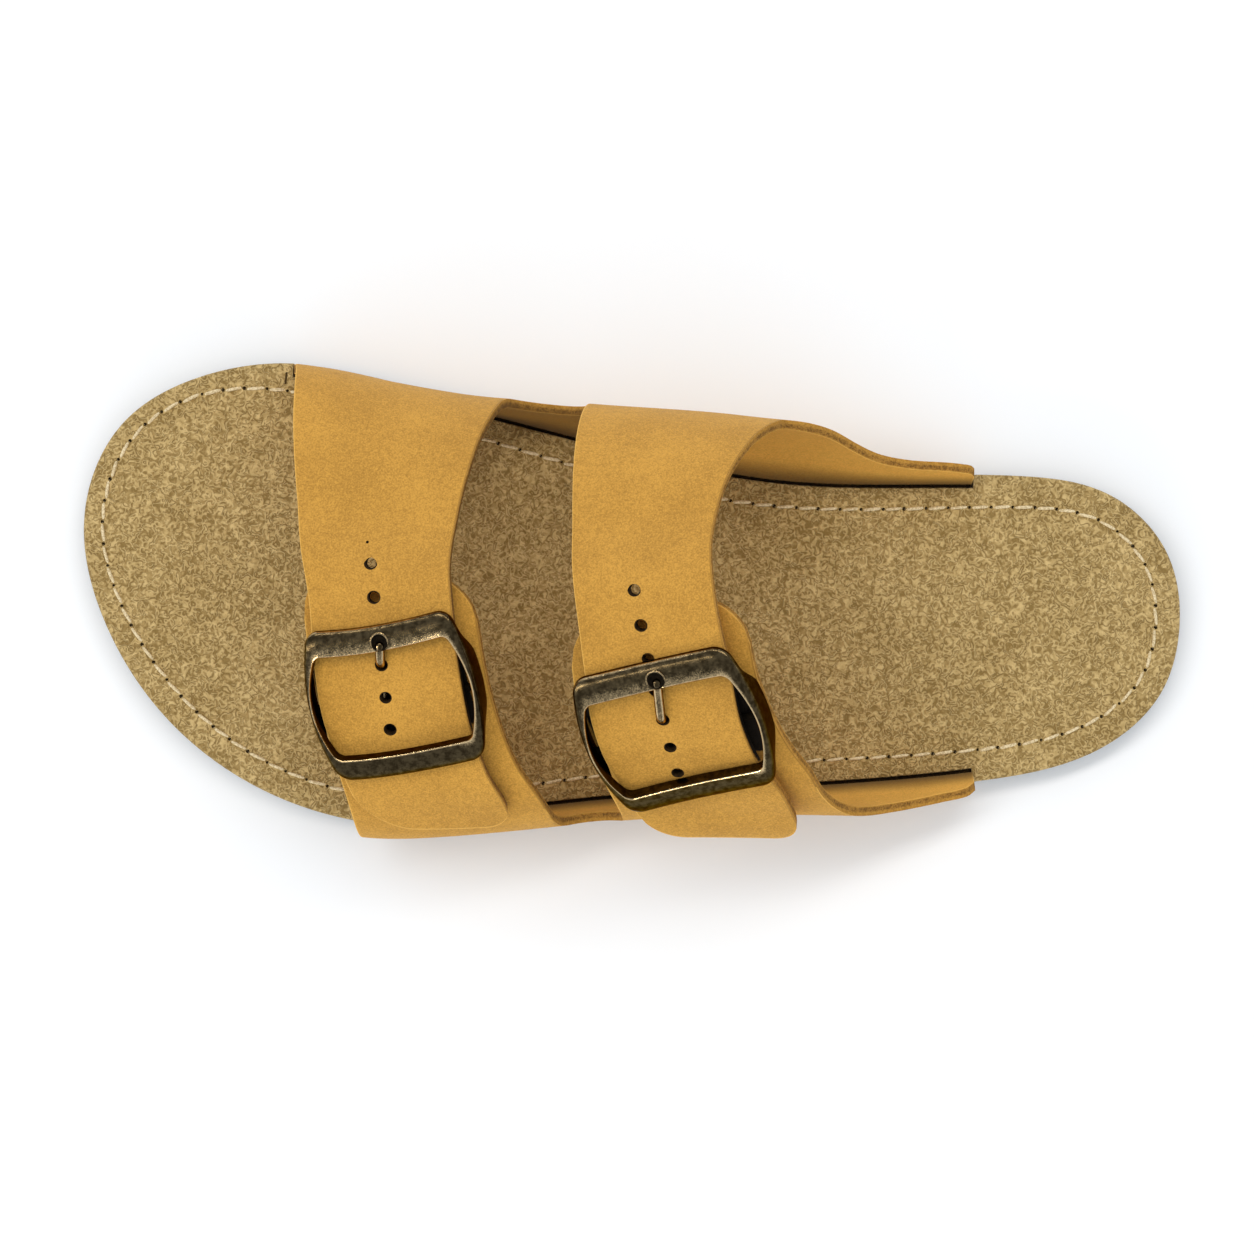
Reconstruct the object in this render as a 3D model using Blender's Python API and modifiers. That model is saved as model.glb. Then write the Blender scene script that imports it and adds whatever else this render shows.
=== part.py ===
"""Two-strap barefoot sandal for the left foot.

Sizes are in millimetres and become metres as each mesh is made.  The last's own axes
run x from the back of the heel to the toe tip, y towards the outer side of the foot
and z up from the floor.
"""

import functools
import math
from collections import namedtuple

import bmesh
import bpy
import numpy as np
from mathutils import Matrix, Vector

MM = 0.001
WELD_DISTANCE = 0.01
NAME = "barefoot_sandal"

# Sole stack
OUTSOLE_THICKNESS = 4.0
OUTSOLE_EDGE_ROUND = 0.9
ROUND_MIDDLE = 0.3
INSOLE_THICKNESS = 4.0
INSOLE_EDGE_ROUND = 0.5
SEAT_GAP = 0.3
INSOLE_BOTTOM = OUTSOLE_THICKNESS + SEAT_GAP
INSOLE_TOP = INSOLE_BOTTOM + INSOLE_THICKNESS

# Leather and the margin that is turned in under the insole
LEATHER = 2.2
SEAM_INSET = 0.25
MARGIN_WIDTH = 9.0
MARGIN_TOP = INSOLE_BOTTOM + LEATHER
NOTCH_DEPTH = SEAM_INSET + LEATHER + SEAT_GAP
NOTCH_END_GAP = 0.7

# Place of the footprint's middle in the last's axes, which becomes the origin
FOOTPRINT_MIDDLE = (135.0, 12.5)

OutlinePoint = namedtuple("OutlinePoint", "place x y")
SOLE_OUTLINE = (
    OutlinePoint("heel back", 0.0, 3.0),
    OutlinePoint("heel back, inner side", 4.6, -15.5),
    OutlinePoint("heel corner, inner side", 20.0, -28.6),
    OutlinePoint("heel, inner side", 42.0, -31.3),
    OutlinePoint("waist, inner side", 100.0, -27.9),
    OutlinePoint("behind the ball, inner side", 150.0, -34.0),
    OutlinePoint("ball, inner side", 200.0, -42.4),
    OutlinePoint("big toe joint", 223.0, -44.2),
    OutlinePoint("big toe", 245.0, -38.9),
    OutlinePoint("big toe end", 262.0, -26.8),
    OutlinePoint("toe tip", 270.0, -2.5),
    OutlinePoint("middle toes", 263.5, 21.5),
    OutlinePoint("small toes", 246.0, 44.9),
    OutlinePoint("small toe joint", 221.0, 60.6),
    OutlinePoint("ball, outer side", 190.0, 66.7),
    OutlinePoint("behind the ball, outer side", 148.0, 60.6),
    OutlinePoint("waist, outer side", 100.0, 52.9),
    OutlinePoint("heel, outer side", 45.0, 43.9),
    OutlinePoint("heel corner, outer side", 15.5, 32.8),
    OutlinePoint("heel back, outer side", 3.0, 18.5),
)
OUTLINE_STEPS = 6

# The last above the insole: crown height, and how far each side stands out past its seam.
# Round is the share of the way that the curve holds its direction; 0.55 is an ellipse.
Section = namedtuple(
    "Section",
    "x crown_y crown_z medial_out medial_z medial_round lateral_out lateral_z lateral_round",
)
LAST = (
    Section(40.0, 2.0, 94.0, 4.6, 44.0, 0.50, 5.5, 40.0, 0.40),
    Section(60.0, 1.0, 88.0, 5.0, 42.0, 0.50, 6.2, 37.0, 0.40),
    Section(76.0, 0.0, 83.5, 6.4, 40.0, 0.52, 4.7, 32.0, 0.40),
    Section(92.0, -0.5, 79.0, 10.2, 38.0, 0.54, 3.6, 29.0, 0.39),
    Section(112.0, -1.0, 74.0, 10.5, 36.0, 0.54, 2.8, 27.0, 0.38),
    Section(150.0, -2.0, 64.5, 5.2, 31.0, 0.54, 2.4, 24.0, 0.42),
    Section(176.0, -3.0, 58.0, 0.6, 27.0, 0.54, 2.2, 22.0, 0.48),
    Section(200.0, -3.5, 54.5, -1.0, 25.0, 0.54, 3.2, 21.0, 0.48),
    Section(222.0, -4.0, 52.0, -0.9, 24.0, 0.54, 3.0, 20.0, 0.48),
    Section(240.0, -5.0, 50.0, -0.8, 22.0, 0.54, 2.8, 19.0, 0.48),
)
SECTION_STEPS = 40
WALL_HOLD = 0.4
WALL_FLARE = 0.75
PROBE_X = 1.0
PROBE_AROUND = 0.01

# Patterns of the two leather pieces.  Climb is the share of the way round the last,
# from the seam of the piece's own side to the other seam.
EdgeRow = namedtuple("EdgeRow", "climb toe_x heel_x")
LiftRow = namedtuple("LiftRow", "climb lift")
EndRow = namedtuple("EndRow", "x climb")
Strap = namedtuple("Strap", "edges rows toe_root heel_root tip toe_corner heel_corner lifts")
Pattern = namedtuple("Pattern", "side front rear bridge_low wing")

TAB_TOP = LEATHER + SEAT_GAP
PIVOT_RADIUS = 0.9
STRAP_OVER = TAB_TOP + 2.0 * PIVOT_RADIUS + SEAT_GAP

FRONT_STRAP = Strap(
    edges=(
        EdgeRow(0.00, 221.5, 166.5),
        EdgeRow(0.15, 218.8, 168.6),
        EdgeRow(0.29, 216.4, 173.6),
        EdgeRow(0.42, 212.4, 176.2),
        EdgeRow(0.52, 208.0, 174.0),
        EdgeRow(0.60, 206.0, 171.5),
        EdgeRow(0.68, 202.9, 168.3),
        EdgeRow(0.74, 198.7, 164.8),
        EdgeRow(0.79, 195.4, 161.0),
        EdgeRow(0.85, 189.5, 158.4),
    ),
    rows=18,
    toe_root=0.16,
    heel_root=0.16,
    tip=0.843,
    toe_corner=9.0,
    heel_corner=6.0,
    lifts=(
        LiftRow(0.00, 0.0),
        LiftRow(0.38, 0.0),
        LiftRow(0.47, STRAP_OVER),
        LiftRow(0.74, STRAP_OVER),
        LiftRow(0.84, TAB_TOP + 0.4),
    ),
)
REAR_STRAP = Strap(
    edges=(
        EdgeRow(0.00, 146.0, 99.0),
        EdgeRow(0.13, 147.8, 100.0),
        EdgeRow(0.20, 149.4, 103.0),
        EdgeRow(0.29, 150.2, 110.2),
        EdgeRow(0.37, 149.6, 115.4),
        EdgeRow(0.44, 148.2, 116.9),
        EdgeRow(0.50, 145.9, 114.6),
        EdgeRow(0.60, 142.7, 109.2),
        EdgeRow(0.66, 141.0, 106.3),
        EdgeRow(0.72, 137.5, 101.4),
        EdgeRow(0.77, 133.1, 95.4),
        EdgeRow(0.82, 129.2, 91.8),
        EdgeRow(0.88, 123.0, 88.0),
    ),
    rows=18,
    toe_root=0.14,
    heel_root=0.19,
    tip=0.862,
    toe_corner=8.0,
    heel_corner=8.0,
    lifts=(
        LiftRow(0.00, 0.0),
        LiftRow(0.40, 0.0),
        LiftRow(0.50, STRAP_OVER),
        LiftRow(0.805, STRAP_OVER),
        LiftRow(0.87, 6.4),
    ),
)
MEDIAL_PATTERN = Pattern(
    side=-1,
    front=FRONT_STRAP,
    rear=REAR_STRAP,
    bridge_low=0.085,
    wing=(
        EndRow(97.5, 0.172),
        EndRow(91.0, 0.138),
        EndRow(84.6, 0.100),
        EndRow(78.0, 0.074),
        EndRow(71.0, 0.061),
        EndRow(57.6, 0.050),
        EndRow(55.0, 0.044),
        EndRow(53.8, 0.030),
    ),
)

FRONT_TAB = Strap(
    edges=(
        EdgeRow(0.00, 193.2, 146.5),
        EdgeRow(0.09, 194.7, 148.0),
        EdgeRow(0.17, 197.0, 151.2),
        EdgeRow(0.26, 201.4, 158.8),
        EdgeRow(0.36, 206.6, 164.8),
        EdgeRow(0.52, 212.0, 171.2),
    ),
    rows=8,
    toe_root=0.17,
    heel_root=0.17,
    tip=0.536,
    toe_corner=14.0,
    heel_corner=11.0,
    lifts=(LiftRow(0.0, 0.0), LiftRow(1.0, 0.0)),
)
REAR_TAB = Strap(
    edges=(
        EdgeRow(0.00, 130.5, 84.0),
        EdgeRow(0.15, 133.5, 85.5),
        EdgeRow(0.24, 139.0, 89.2),
        EdgeRow(0.29, 142.0, 95.2),
        EdgeRow(0.38, 146.0, 103.4),
        EdgeRow(0.49, 148.3, 109.0),
    ),
    rows=8,
    toe_root=0.14,
    heel_root=0.23,
    tip=0.490,
    toe_corner=15.0,
    heel_corner=10.0,
    lifts=(LiftRow(0.0, 0.0), LiftRow(1.0, 0.0)),
)
LATERAL_PATTERN = Pattern(
    side=1,
    front=FRONT_TAB,
    rear=REAR_TAB,
    bridge_low=0.070,
    wing=(
        EndRow(86.0, 0.202),
        EndRow(81.0, 0.160),
        EndRow(74.5, 0.118),
        EndRow(68.5, 0.086),
        EndRow(63.0, 0.070),
        EndRow(56.0, 0.057),
        EndRow(49.6, 0.047),
        EndRow(47.8, 0.032),
    ),
)

WALL_ROWS = 5
TAIL_ROWS = 5
TAIL_REACH = 0.09
STRAP_COLUMNS = 10
BRIDGE_COLUMNS = 10
WING_COLUMNS = 14
WING_MIDDLE_X = 80.0
BRIDGE_SQUARE = 2.4

# Punched holes in a line down the middle of each strap
HoleRow = namedtuple("HoleRow", "first_x first_climb step_x count")
HOLE_PITCH = 7.4
HOLE_RADIUS = 1.25
HOLE_SIDES = 12
PUNCH_REACH = 1.1
FRONT_HOLES = HoleRow(194.4, 0.452, -1.4, 6)
REAR_HOLES = HoleRow(132.6, 0.494, -2.05, 7)

# Buckles: the frame lies across the strap, over the prong's hole.  Reach is the way from
# that hole to the inner edge of the upper bar and aside the shift towards the toe.  Length and
# width are shares of the full sizes given below.  Lean and tilt turn the sides and the upper bar
# on the last, and twist turns the lower bar further, so that both bars look parallel.  Swing is
# how far to the heel of the hole the prong's tip rests.
Buckle = namedtuple("Buckle", "label holes hole length width reach aside lean tilt twist swing")
BUCKLES = (
    Buckle("front", FRONT_HOLES, 3, 0.93, 0.96, 3.5, -1.2, 17.0, 15.0, -1.0, 1.5),
    Buckle("rear", REAR_HOLES, 4, 1.03, 1.0, 9.2, -2.0, 23.0, 15.0, 4.5, 3.0),
)
FrameRing = namedtuple("FrameRing", "half_length half_width corner barrel")
FRAME_INNER = FrameRing(12.6, 16.4, 1.3, 3.2)
FRAME_OUTER = FrameRing(18.6, 17.5, 2.8, 3.35)
FRAME_THICKNESS = 2.8
FRAME_CORNER_STEPS = 4
FRAME_SIDE_STEPS = 6
BAR_STEP = 0.1
BAR_BOTTOM = STRAP_OVER + LEATHER + SEAT_GAP + BAR_STEP
SIDE_BOTTOM = TAB_TOP
SIDE_DEEP = 0.35
SIDE_SHALLOW = 0.75
ProfilePoint = namedtuple("ProfilePoint", "outward upward deep")
FRAME_PROFILE = (
    ProfilePoint(0.00, 0.00, False),
    ProfilePoint(0.00, 0.86, False),
    ProfilePoint(0.10, 1.02, False),
    ProfilePoint(0.58, 0.92, False),
    ProfilePoint(0.90, 0.62, False),
    ProfilePoint(1.00, 0.25, False),
    ProfilePoint(1.00, 0.00, True),
    ProfilePoint(0.55, 0.00, True),
    ProfilePoint(0.50, 0.00, False),
)
PIVOT_ALONG = 2.0
PIVOT_HALF = 20.5
PIVOT_HEIGHT = TAB_TOP + PIVOT_RADIUS
PRONG_RADIUS = 1.0
PRONG_HEIGHT = STRAP_OVER + LEATHER + SEAT_GAP + PRONG_RADIUS
PRONG_CLEARANCE = 0.25
PRONG_SIDES = 3
PIVOT_STEPS = 9
NOTCH_RADIUS = 2.4
NOTCH_BACK = 2.2
NOTCH_ALONG = -FRAME_INNER.half_length - NOTCH_BACK
NOTCH_RISE = 1.2
NOTCH_SEGMENTS = 14
NOTCH_RINGS = 8
# How the prong climbs through its hole: places along from the hole, and shares of its rise
ProngRow = namedtuple("ProngRow", "from_hole rise")
PRONG_ROWS = (
    ProngRow(2.6, 0.0),
    ProngRow(1.5, 0.10),
    ProngRow(0.5, 0.36),
    ProngRow(-0.5, 0.74),
    ProngRow(-1.4, 0.95),
    ProngRow(-2.4, 1.0),
)
PRONG_ROOT = 0.4

Finish = namedtuple("Finish", "colour metallic roughness")
RUBBER = Finish((0.05, 0.04, 0.03, 1.0), 0.0, 0.8)
FELT = Finish((0.41, 0.28, 0.11, 1.0), 0.0, 0.95)
NUBUCK = Finish((0.57, 0.30, 0.06, 1.0), 0.0, 0.8)
BRONZE = Finish((0.08, 0.06, 0.04, 1.0), 1.0, 0.35)


def smooth(at, stations, values):
    """Value at a place, by a smooth curve through the stations; held level past the ends."""
    stations = np.asarray(stations, float)
    values = np.asarray(values, float)
    slopes = np.gradient(values, stations)
    span = int(np.clip(np.searchsorted(stations, at) - 1, 0, len(stations) - 2))
    width = stations[span + 1] - stations[span]
    share = float(np.clip((at - stations[span]) / width, 0.0, 1.0))
    rest = 1.0 - share
    return (
        values[span] * (1.0 + 2.0 * share) * rest * rest
        + values[span + 1] * (3.0 - 2.0 * share) * share * share
        + width * slopes[span] * share * rest * rest
        - width * slopes[span + 1] * share * share * rest
    )


def column_of(rows, name):
    """One named column of a table."""
    return [getattr(row, name) for row in rows]


def closed_spline(anchors, steps):
    """Points of the smooth closed curve through the anchors, with steps points a span."""
    anchors = np.asarray(anchors, float)
    count = len(anchors)
    chords = np.roll(anchors, -1, axis=0) - anchors
    spans = np.linalg.norm(chords, axis=1)
    slopes = chords / spans[:, None]
    system = np.zeros((count, count))
    target = np.zeros((count, 2))
    for i in range(count):
        before = spans[i - 1]
        after = spans[i]
        system[i, i - 1] = after
        system[i, i] = 2.0 * (before + after)
        system[i, (i + 1) % count] = before
        target[i] = 3.0 * (after * slopes[i - 1] + before * slopes[i])
    tangents = np.linalg.solve(system, target)
    points = []
    for i in range(count):
        ahead = (i + 1) % count
        for step in range(steps):
            share = step / steps
            rest = 1.0 - share
            points.append(
                anchors[i] * (1.0 + 2.0 * share) * rest * rest
                + anchors[ahead] * (3.0 - 2.0 * share) * share * share
                + spans[i] * tangents[i] * share * rest * rest
                - spans[i] * tangents[ahead] * share * share * rest
            )
    return np.array(points)


def bezier(start, leave, arrive, end, share):
    """Point of a cubic curve between start and end, pulled towards the two middle points."""
    rest = 1.0 - share
    return (
        start * rest**3
        + leave * 3.0 * share * rest**2
        + arrive * 3.0 * share**2 * rest
        + end * share**3
    )


@functools.lru_cache(maxsize=None)
def sole_curve():
    """The sole's outline, running from the heel along the inner side to the toe and back."""
    return closed_spline([(point.x, point.y) for point in SOLE_OUTLINE], OUTLINE_STEPS)


@functools.lru_cache(maxsize=None)
def sole_side(side):
    """The inner (-1) or outer (1) half of the outline, sorted from heel to toe."""
    curve = sole_curve()
    heel = int(np.argmin(curve[:, 0]))
    toe = int(np.argmax(curve[:, 0]))
    half = curve[heel : toe + 1] if side < 0 else np.vstack([curve[toe:], curve[: heel + 1]])
    return half[np.argsort(half[:, 0])]


def sole_edge(x, side):
    """How far out the sole's edge is at x."""
    half = sole_side(side)
    return float(np.interp(x, half[:, 0], half[:, 1]))


def edge_slope(x, side):
    """How fast the sole's edge runs outwards at x."""
    return (sole_edge(x + PROBE_X, side) - sole_edge(x - PROBE_X, side)) / (2.0 * PROBE_X)


def seam_y(x, side):
    """Where the leather's inner face meets the insole at x."""
    return sole_edge(x, side) - side * (SEAM_INSET + LEATHER) * math.hypot(1.0, edge_slope(x, side))


def margin_end(x, side):
    """Inner end of the turned-in margin that starts at the seam at x."""
    slope = edge_slope(x, side)
    reach = side * MARGIN_WIDTH / math.hypot(1.0, slope)
    return x + reach * slope, seam_y(x, side) - reach, MARGIN_TOP


@functools.lru_cache(maxsize=None)
def section_curve(x):
    """The last's section at x from the inner to the outer seam, and its length."""
    size = {name: smooth(x, column_of(LAST, "x"), column_of(LAST, name)) for name in Section._fields}
    crown = np.array([size["crown_y"], size["crown_z"]])
    halves = []
    for side, name in ((-1, "medial"), (1, "lateral")):
        seam = np.array([seam_y(x, side), INSOLE_TOP])
        bulge = np.array([seam[0] + side * size[name + "_out"], size[name + "_z"]])
        lower = (bulge[1] - seam[1]) * WALL_HOLD
        rise = (crown[1] - bulge[1]) * size[name + "_round"]
        reach = (crown[0] - bulge[0]) * size[name + "_round"]
        shares = np.arange(SECTION_STEPS)[:, None] / SECTION_STEPS
        leave = seam + np.array([(bulge[0] - seam[0]) * WALL_FLARE, lower])
        wall = bezier(seam, leave, bulge - np.array([0.0, lower]), bulge, shares)
        shoulder = bezier(
            bulge, bulge + np.array([0.0, rise]), crown - np.array([reach, 0.0]), crown, shares
        )
        halves.append(np.vstack([wall, shoulder]))
    curve = np.vstack([halves[0], crown[None, :], halves[1][::-1]])
    lengths = np.concatenate([[0.0], np.cumsum(np.linalg.norm(np.diff(curve, axis=0), axis=1))])
    return curve, lengths / lengths[-1], float(lengths[-1])


def section_length(x):
    """Way round the last at x, from seam to seam."""
    return section_curve(round(x, 3))[2]


def last_point(x, around):
    """Point of the last's surface; around runs from the inner seam (0) to the outer (1)."""
    curve, shares, _ = section_curve(round(x, 3))
    return np.array([x, np.interp(around, shares, curve[:, 0]), np.interp(around, shares, curve[:, 1])])


def layer_point(x, around, lift):
    """Point standing off the last's surface by lift."""
    near = min(max(around, PROBE_AROUND), 1.0 - PROBE_AROUND)
    ahead = last_point(x + PROBE_X, near) - last_point(x - PROBE_X, near)
    beside = last_point(x, near + PROBE_AROUND) - last_point(x, near - PROBE_AROUND)
    normal = np.cross(ahead, beside)
    return last_point(x, around) + lift * normal / np.linalg.norm(normal)


def around_of(side, climb):
    """Place round the last of a climb that starts at the given side's seam."""
    return climb if side < 0 else 1.0 - climb


def strap_x(strap, climb, share):
    """Place along the last of a strap's point; share runs from toe edge (0) to heel edge (1)."""
    climbs = column_of(strap.edges, "climb")
    toe = smooth(climb, climbs, column_of(strap.edges, "toe_x"))
    heel = smooth(climb, climbs, column_of(strap.edges, "heel_x"))
    return toe + (heel - toe) * share


def strap_lift(strap, climb):
    """How far a strap's inner face stands off the last."""
    rows = strap.lifts
    place = int(np.clip(np.searchsorted(column_of(rows, "climb"), climb), 1, len(rows) - 1))
    low = rows[place - 1]
    high = rows[place]
    share = float(np.clip((climb - low.climb) / (high.climb - low.climb), 0.0, 1.0))
    ease = share * share * (3.0 - 2.0 * share)
    return low.lift + (high.lift - low.lift) * ease


def corner_drop(distance, radius):
    """How much shorter a rounded end is at a distance from its side."""
    if distance >= radius:
        return 0.0
    return radius - math.sqrt(radius * radius - (radius - distance) ** 2)


def strap_column(strap, share):
    """Pattern points (x, climb, lift) of one line along a strap, from seam to rounded tip."""
    start = strap.tip - TAIL_REACH
    root = strap.toe_root + (strap.heel_root - strap.toe_root) * share
    tip_x = strap_x(strap, strap.tip, share)
    width = strap_x(strap, strap.tip, 0.0) - strap_x(strap, strap.tip, 1.0)
    drop = corner_drop(share * width, strap.toe_corner)
    drop += corner_drop((1.0 - share) * width, strap.heel_corner)
    climbs = np.concatenate(
        [
            np.linspace(0.0, root, WALL_ROWS + 1),
            np.linspace(root, start, strap.rows + 1)[1:],
            np.linspace(start, strap.tip - drop / section_length(tip_x), TAIL_ROWS + 1)[1:],
        ]
    )
    return [(strap_x(strap, climb, share), climb, strap_lift(strap, climb)) for climb in climbs]


def ruled_column(bottom_x, top_x, top_climb):
    """Pattern points of one line up a wall, from its seam to its top edge."""
    shares = np.linspace(0.0, 1.0, WALL_ROWS + 1)
    return [(bottom_x + (top_x - bottom_x) * share, top_climb * share, 0.0) for share in shares]


def spread(count):
    """Shares from 0 to 1, closer together at both ends."""
    return [0.5 - 0.5 * math.cos(math.pi * i / count) for i in range(count + 1)]


def bridge_columns(pattern):
    """Lines up the low wall between the straps, whose top edge is a rounded U."""
    front = pattern.front
    rear = pattern.rear
    columns = []
    for share in spread(BRIDGE_COLUMNS)[1:-1]:
        root = front.heel_root + (rear.toe_root - front.heel_root) * share
        depth = (1.0 - abs(2.0 * share - 1.0) ** BRIDGE_SQUARE) ** (1.0 / BRIDGE_SQUARE)
        top = root - (root - pattern.bridge_low) * depth
        column = []
        for climb in np.linspace(0.0, top, WALL_ROWS + 1):
            toe = strap_x(front, climb, 1.0)
            heel = strap_x(rear, climb, 0.0)
            column.append((toe + (heel - toe) * share, climb, 0.0))
        columns.append(column)
    return columns


def wing_columns(pattern):
    """Lines up the low wing behind the rear strap, along its falling top edge."""
    rear = pattern.rear
    first = EndRow(strap_x(rear, rear.heel_root, 1.0), rear.heel_root)
    rows = (first,) + pattern.wing
    xs = column_of(rows, "x")
    climbs = column_of(rows, "climb")
    steps = np.hypot(np.diff(xs), np.diff(climbs) * section_length(WING_MIDDLE_X))
    places = np.concatenate([[0.0], np.cumsum(steps)])
    seam_toe = strap_x(rear, 0.0, 1.0)
    seam_heel = pattern.wing[-1].x
    columns = []
    for i in range(1, WING_COLUMNS + 1):
        share = i / WING_COLUMNS
        place = share * places[-1]
        bottom = seam_toe + (seam_heel - seam_toe) * share
        columns.append(ruled_column(bottom, smooth(place, places, xs), smooth(place, places, climbs)))
    return columns


def pattern_columns(pattern):
    """All the lines of one leather piece, in order from its toe end to its heel end."""
    shares = spread(STRAP_COLUMNS)
    columns = [strap_column(pattern.front, share) for share in shares]
    columns += bridge_columns(pattern)
    columns += [strap_column(pattern.rear, share) for share in shares]
    columns += wing_columns(pattern)
    return columns


def leather_sheet(pattern):
    """Vertices and faces of a leather piece's inner face, with its turned-in margin."""
    side = pattern.side
    vertices = []
    starts = []
    lengths = []
    for column in pattern_columns(pattern):
        seam_x = column[0][0]
        starts.append(len(vertices))
        vertices.append(margin_end(seam_x, side))
        vertices.append((seam_x, seam_y(seam_x, side), MARGIN_TOP))
        vertices += [layer_point(x, around_of(side, climb), lift) for x, climb, lift in column]
        lengths.append(len(vertices) - starts[-1])
    faces = []
    for i in range(len(starts) - 1):
        here = starts[i]
        beside = starts[i + 1]
        for row in range(min(lengths[i], lengths[i + 1]) - 1):
            face = (here + row, here + row + 1, beside + row + 1, beside + row)
            faces.append(face if side < 0 else face[::-1])
    return vertices, faces


def make_material(name, finish):
    """A plain material of one finish."""
    material = bpy.data.materials.new(name)
    material.use_nodes = True
    shader = material.node_tree.nodes["Principled BSDF"]
    shader.inputs["Base Color"].default_value = finish.colour
    shader.inputs["Metallic"].default_value = finish.metallic
    shader.inputs["Roughness"].default_value = finish.roughness
    material.diffuse_color = finish.colour
    return material


def make_collection(name):
    """A new collection in the scene."""
    collection = bpy.data.collections.new(name)
    bpy.context.scene.collection.children.link(collection)
    return collection


def to_metres(point):
    """A point in the last's axes as metres about the footprint's middle."""
    return (
        (point[0] - FOOTPRINT_MIDDLE[0]) * MM,
        (point[1] - FOOTPRINT_MIDDLE[1]) * MM,
        point[2] * MM,
    )


def make_mesh(name, vertices, faces, collection):
    """A mesh object from points in millimetres."""
    mesh = bpy.data.meshes.new(name)
    mesh.from_pydata([to_metres(point) for point in vertices], [], faces)
    mesh.update()
    thing = bpy.data.objects.new(name, mesh)
    collection.objects.link(thing)
    return thing


def make_part(name, vertices, faces, finish, collection):
    """A named piece of the sandal with its own material."""
    thing = make_mesh(name, vertices, faces, collection)
    thing.data.materials.append(make_material(name, finish))
    return thing


def hide_cutter(thing):
    """Show a cutter as wires only, and keep it out of pictures."""
    thing.hide_render = True
    thing.display_type = "WIRE"


def cut(target, cutter, operation="DIFFERENCE"):
    """Cut a piece with a cutter, or join the cutter to it."""
    modifier = target.modifiers.new(cutter.name, "BOOLEAN")
    modifier.operation = operation
    modifier.solver = "EXACT"
    modifier.object = cutter
    modifier.show_render = modifier.show_viewport


def ring_stack(rings):
    """Closed solid through rings of equal count, listed from the bottom up."""
    count = len(rings[0])
    vertices = [tuple(point) for ring in rings for point in ring]
    faces = []
    for level in range(len(rings) - 1):
        low = level * count
        high = low + count
        for i in range(count):
            j = (i + 1) % count
            faces.append((low + i, low + j, high + j, high + i))
    faces.append(tuple(reversed(range(count))))
    faces.append(tuple(range(len(vertices) - count, len(vertices))))
    return vertices, faces


def outline_normals(curve):
    """Outward directions along a closed outline that runs anticlockwise."""
    ahead = np.roll(curve, -1, axis=0) - np.roll(curve, 1, axis=0)
    normals = np.stack([ahead[:, 1], -ahead[:, 0]], axis=1)
    return normals / np.linalg.norm(normals, axis=1)[:, None]


def make_outsole(collection):
    """Flat rubber sole with a rounded lower edge."""
    curve = sole_curve()
    normals = outline_normals(curve)
    inset = OUTSOLE_EDGE_ROUND
    levels = (
        (inset, 0.0),
        (inset * ROUND_MIDDLE, inset * ROUND_MIDDLE),
        (0.0, inset),
        (0.0, OUTSOLE_THICKNESS),
    )
    rings = []
    for inward, height in levels:
        rings.append([(x, y, height) for x, y in curve - normals * inward])
    return make_part("outsole", *ring_stack(rings), RUBBER, collection)


def notched_outline():
    """The outline as rows of point, outward direction and whether the upper passes there."""
    curve = sole_curve()
    normals = outline_normals(curve)
    spans = {}
    for pattern in (MEDIAL_PATTERN, LATERAL_PATTERN):
        toe_end = strap_x(pattern.front, 0.0, 0.0) + NOTCH_END_GAP
        heel_end = pattern.wing[-1].x - NOTCH_END_GAP
        spans[pattern.side] = (heel_end, toe_end)
    rows = []
    count = len(curve)
    heel = int(np.argmin(curve[:, 0]))
    toe = int(np.argmax(curve[:, 0]))
    for i in range(count):
        side = -1 if heel <= i < toe else 1
        ends = spans[side]
        here = curve[i]
        ahead = curve[(i + 1) % count]
        rows.append((here, normals[i], ends[0] < here[0] < ends[1]))
        for end in ends:
            share = (end - here[0]) / (ahead[0] - here[0])
            if 0.0 < share < 1.0:
                point = here + (ahead - here) * share
                entering = ends[0] < ahead[0] < ends[1]
                rows.append((point, normals[i], not entering))
                rows.append((point, normals[i], entering))
    return rows


def make_insole(collection):
    """Footbed with a notch for the leather and a rebate below for its turned-in margin."""
    rebate = NOTCH_DEPTH + MARGIN_WIDTH
    lip = MARGIN_TOP + SEAT_GAP
    levels = (
        (0.0, rebate, INSOLE_BOTTOM),
        (0.0, rebate, lip),
        (0.0, NOTCH_DEPTH, lip),
        (0.0, NOTCH_DEPTH, INSOLE_TOP - INSOLE_EDGE_ROUND),
        (INSOLE_EDGE_ROUND, NOTCH_DEPTH + INSOLE_EDGE_ROUND, INSOLE_TOP),
    )
    rings = []
    for plain, notched, height in levels:
        ring = []
        for point, outward, in_notch in notched_outline():
            inward = notched if in_notch else plain
            x, y = point - outward * inward
            ring.append((x, y, height))
        rings.append(ring)
    thing = make_part("insole", *ring_stack(rings), FELT, collection)
    weld(thing.data)
    return thing


def weld(mesh):
    """Join points that lie on one another."""
    work = bmesh.new()
    work.from_mesh(mesh)
    bmesh.ops.remove_doubles(work, verts=work.verts, dist=WELD_DISTANCE * MM)
    bmesh.ops.dissolve_degenerate(work, edges=work.edges, dist=WELD_DISTANCE * MM)
    work.to_mesh(mesh)
    work.free()


def make_leather(name, pattern, collection):
    """A leather piece: its inner face, thickened outwards."""
    vertices, faces = leather_sheet(pattern)
    thing = make_part(name, vertices, faces, NUBUCK, collection)
    shell = thing.modifiers.new("leather", "SOLIDIFY")
    shell.thickness = LEATHER * MM
    shell.offset = 1.0
    shell.use_even_offset = True
    shell.use_quality_normals = True
    shell.show_render = shell.show_viewport
    return thing


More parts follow.
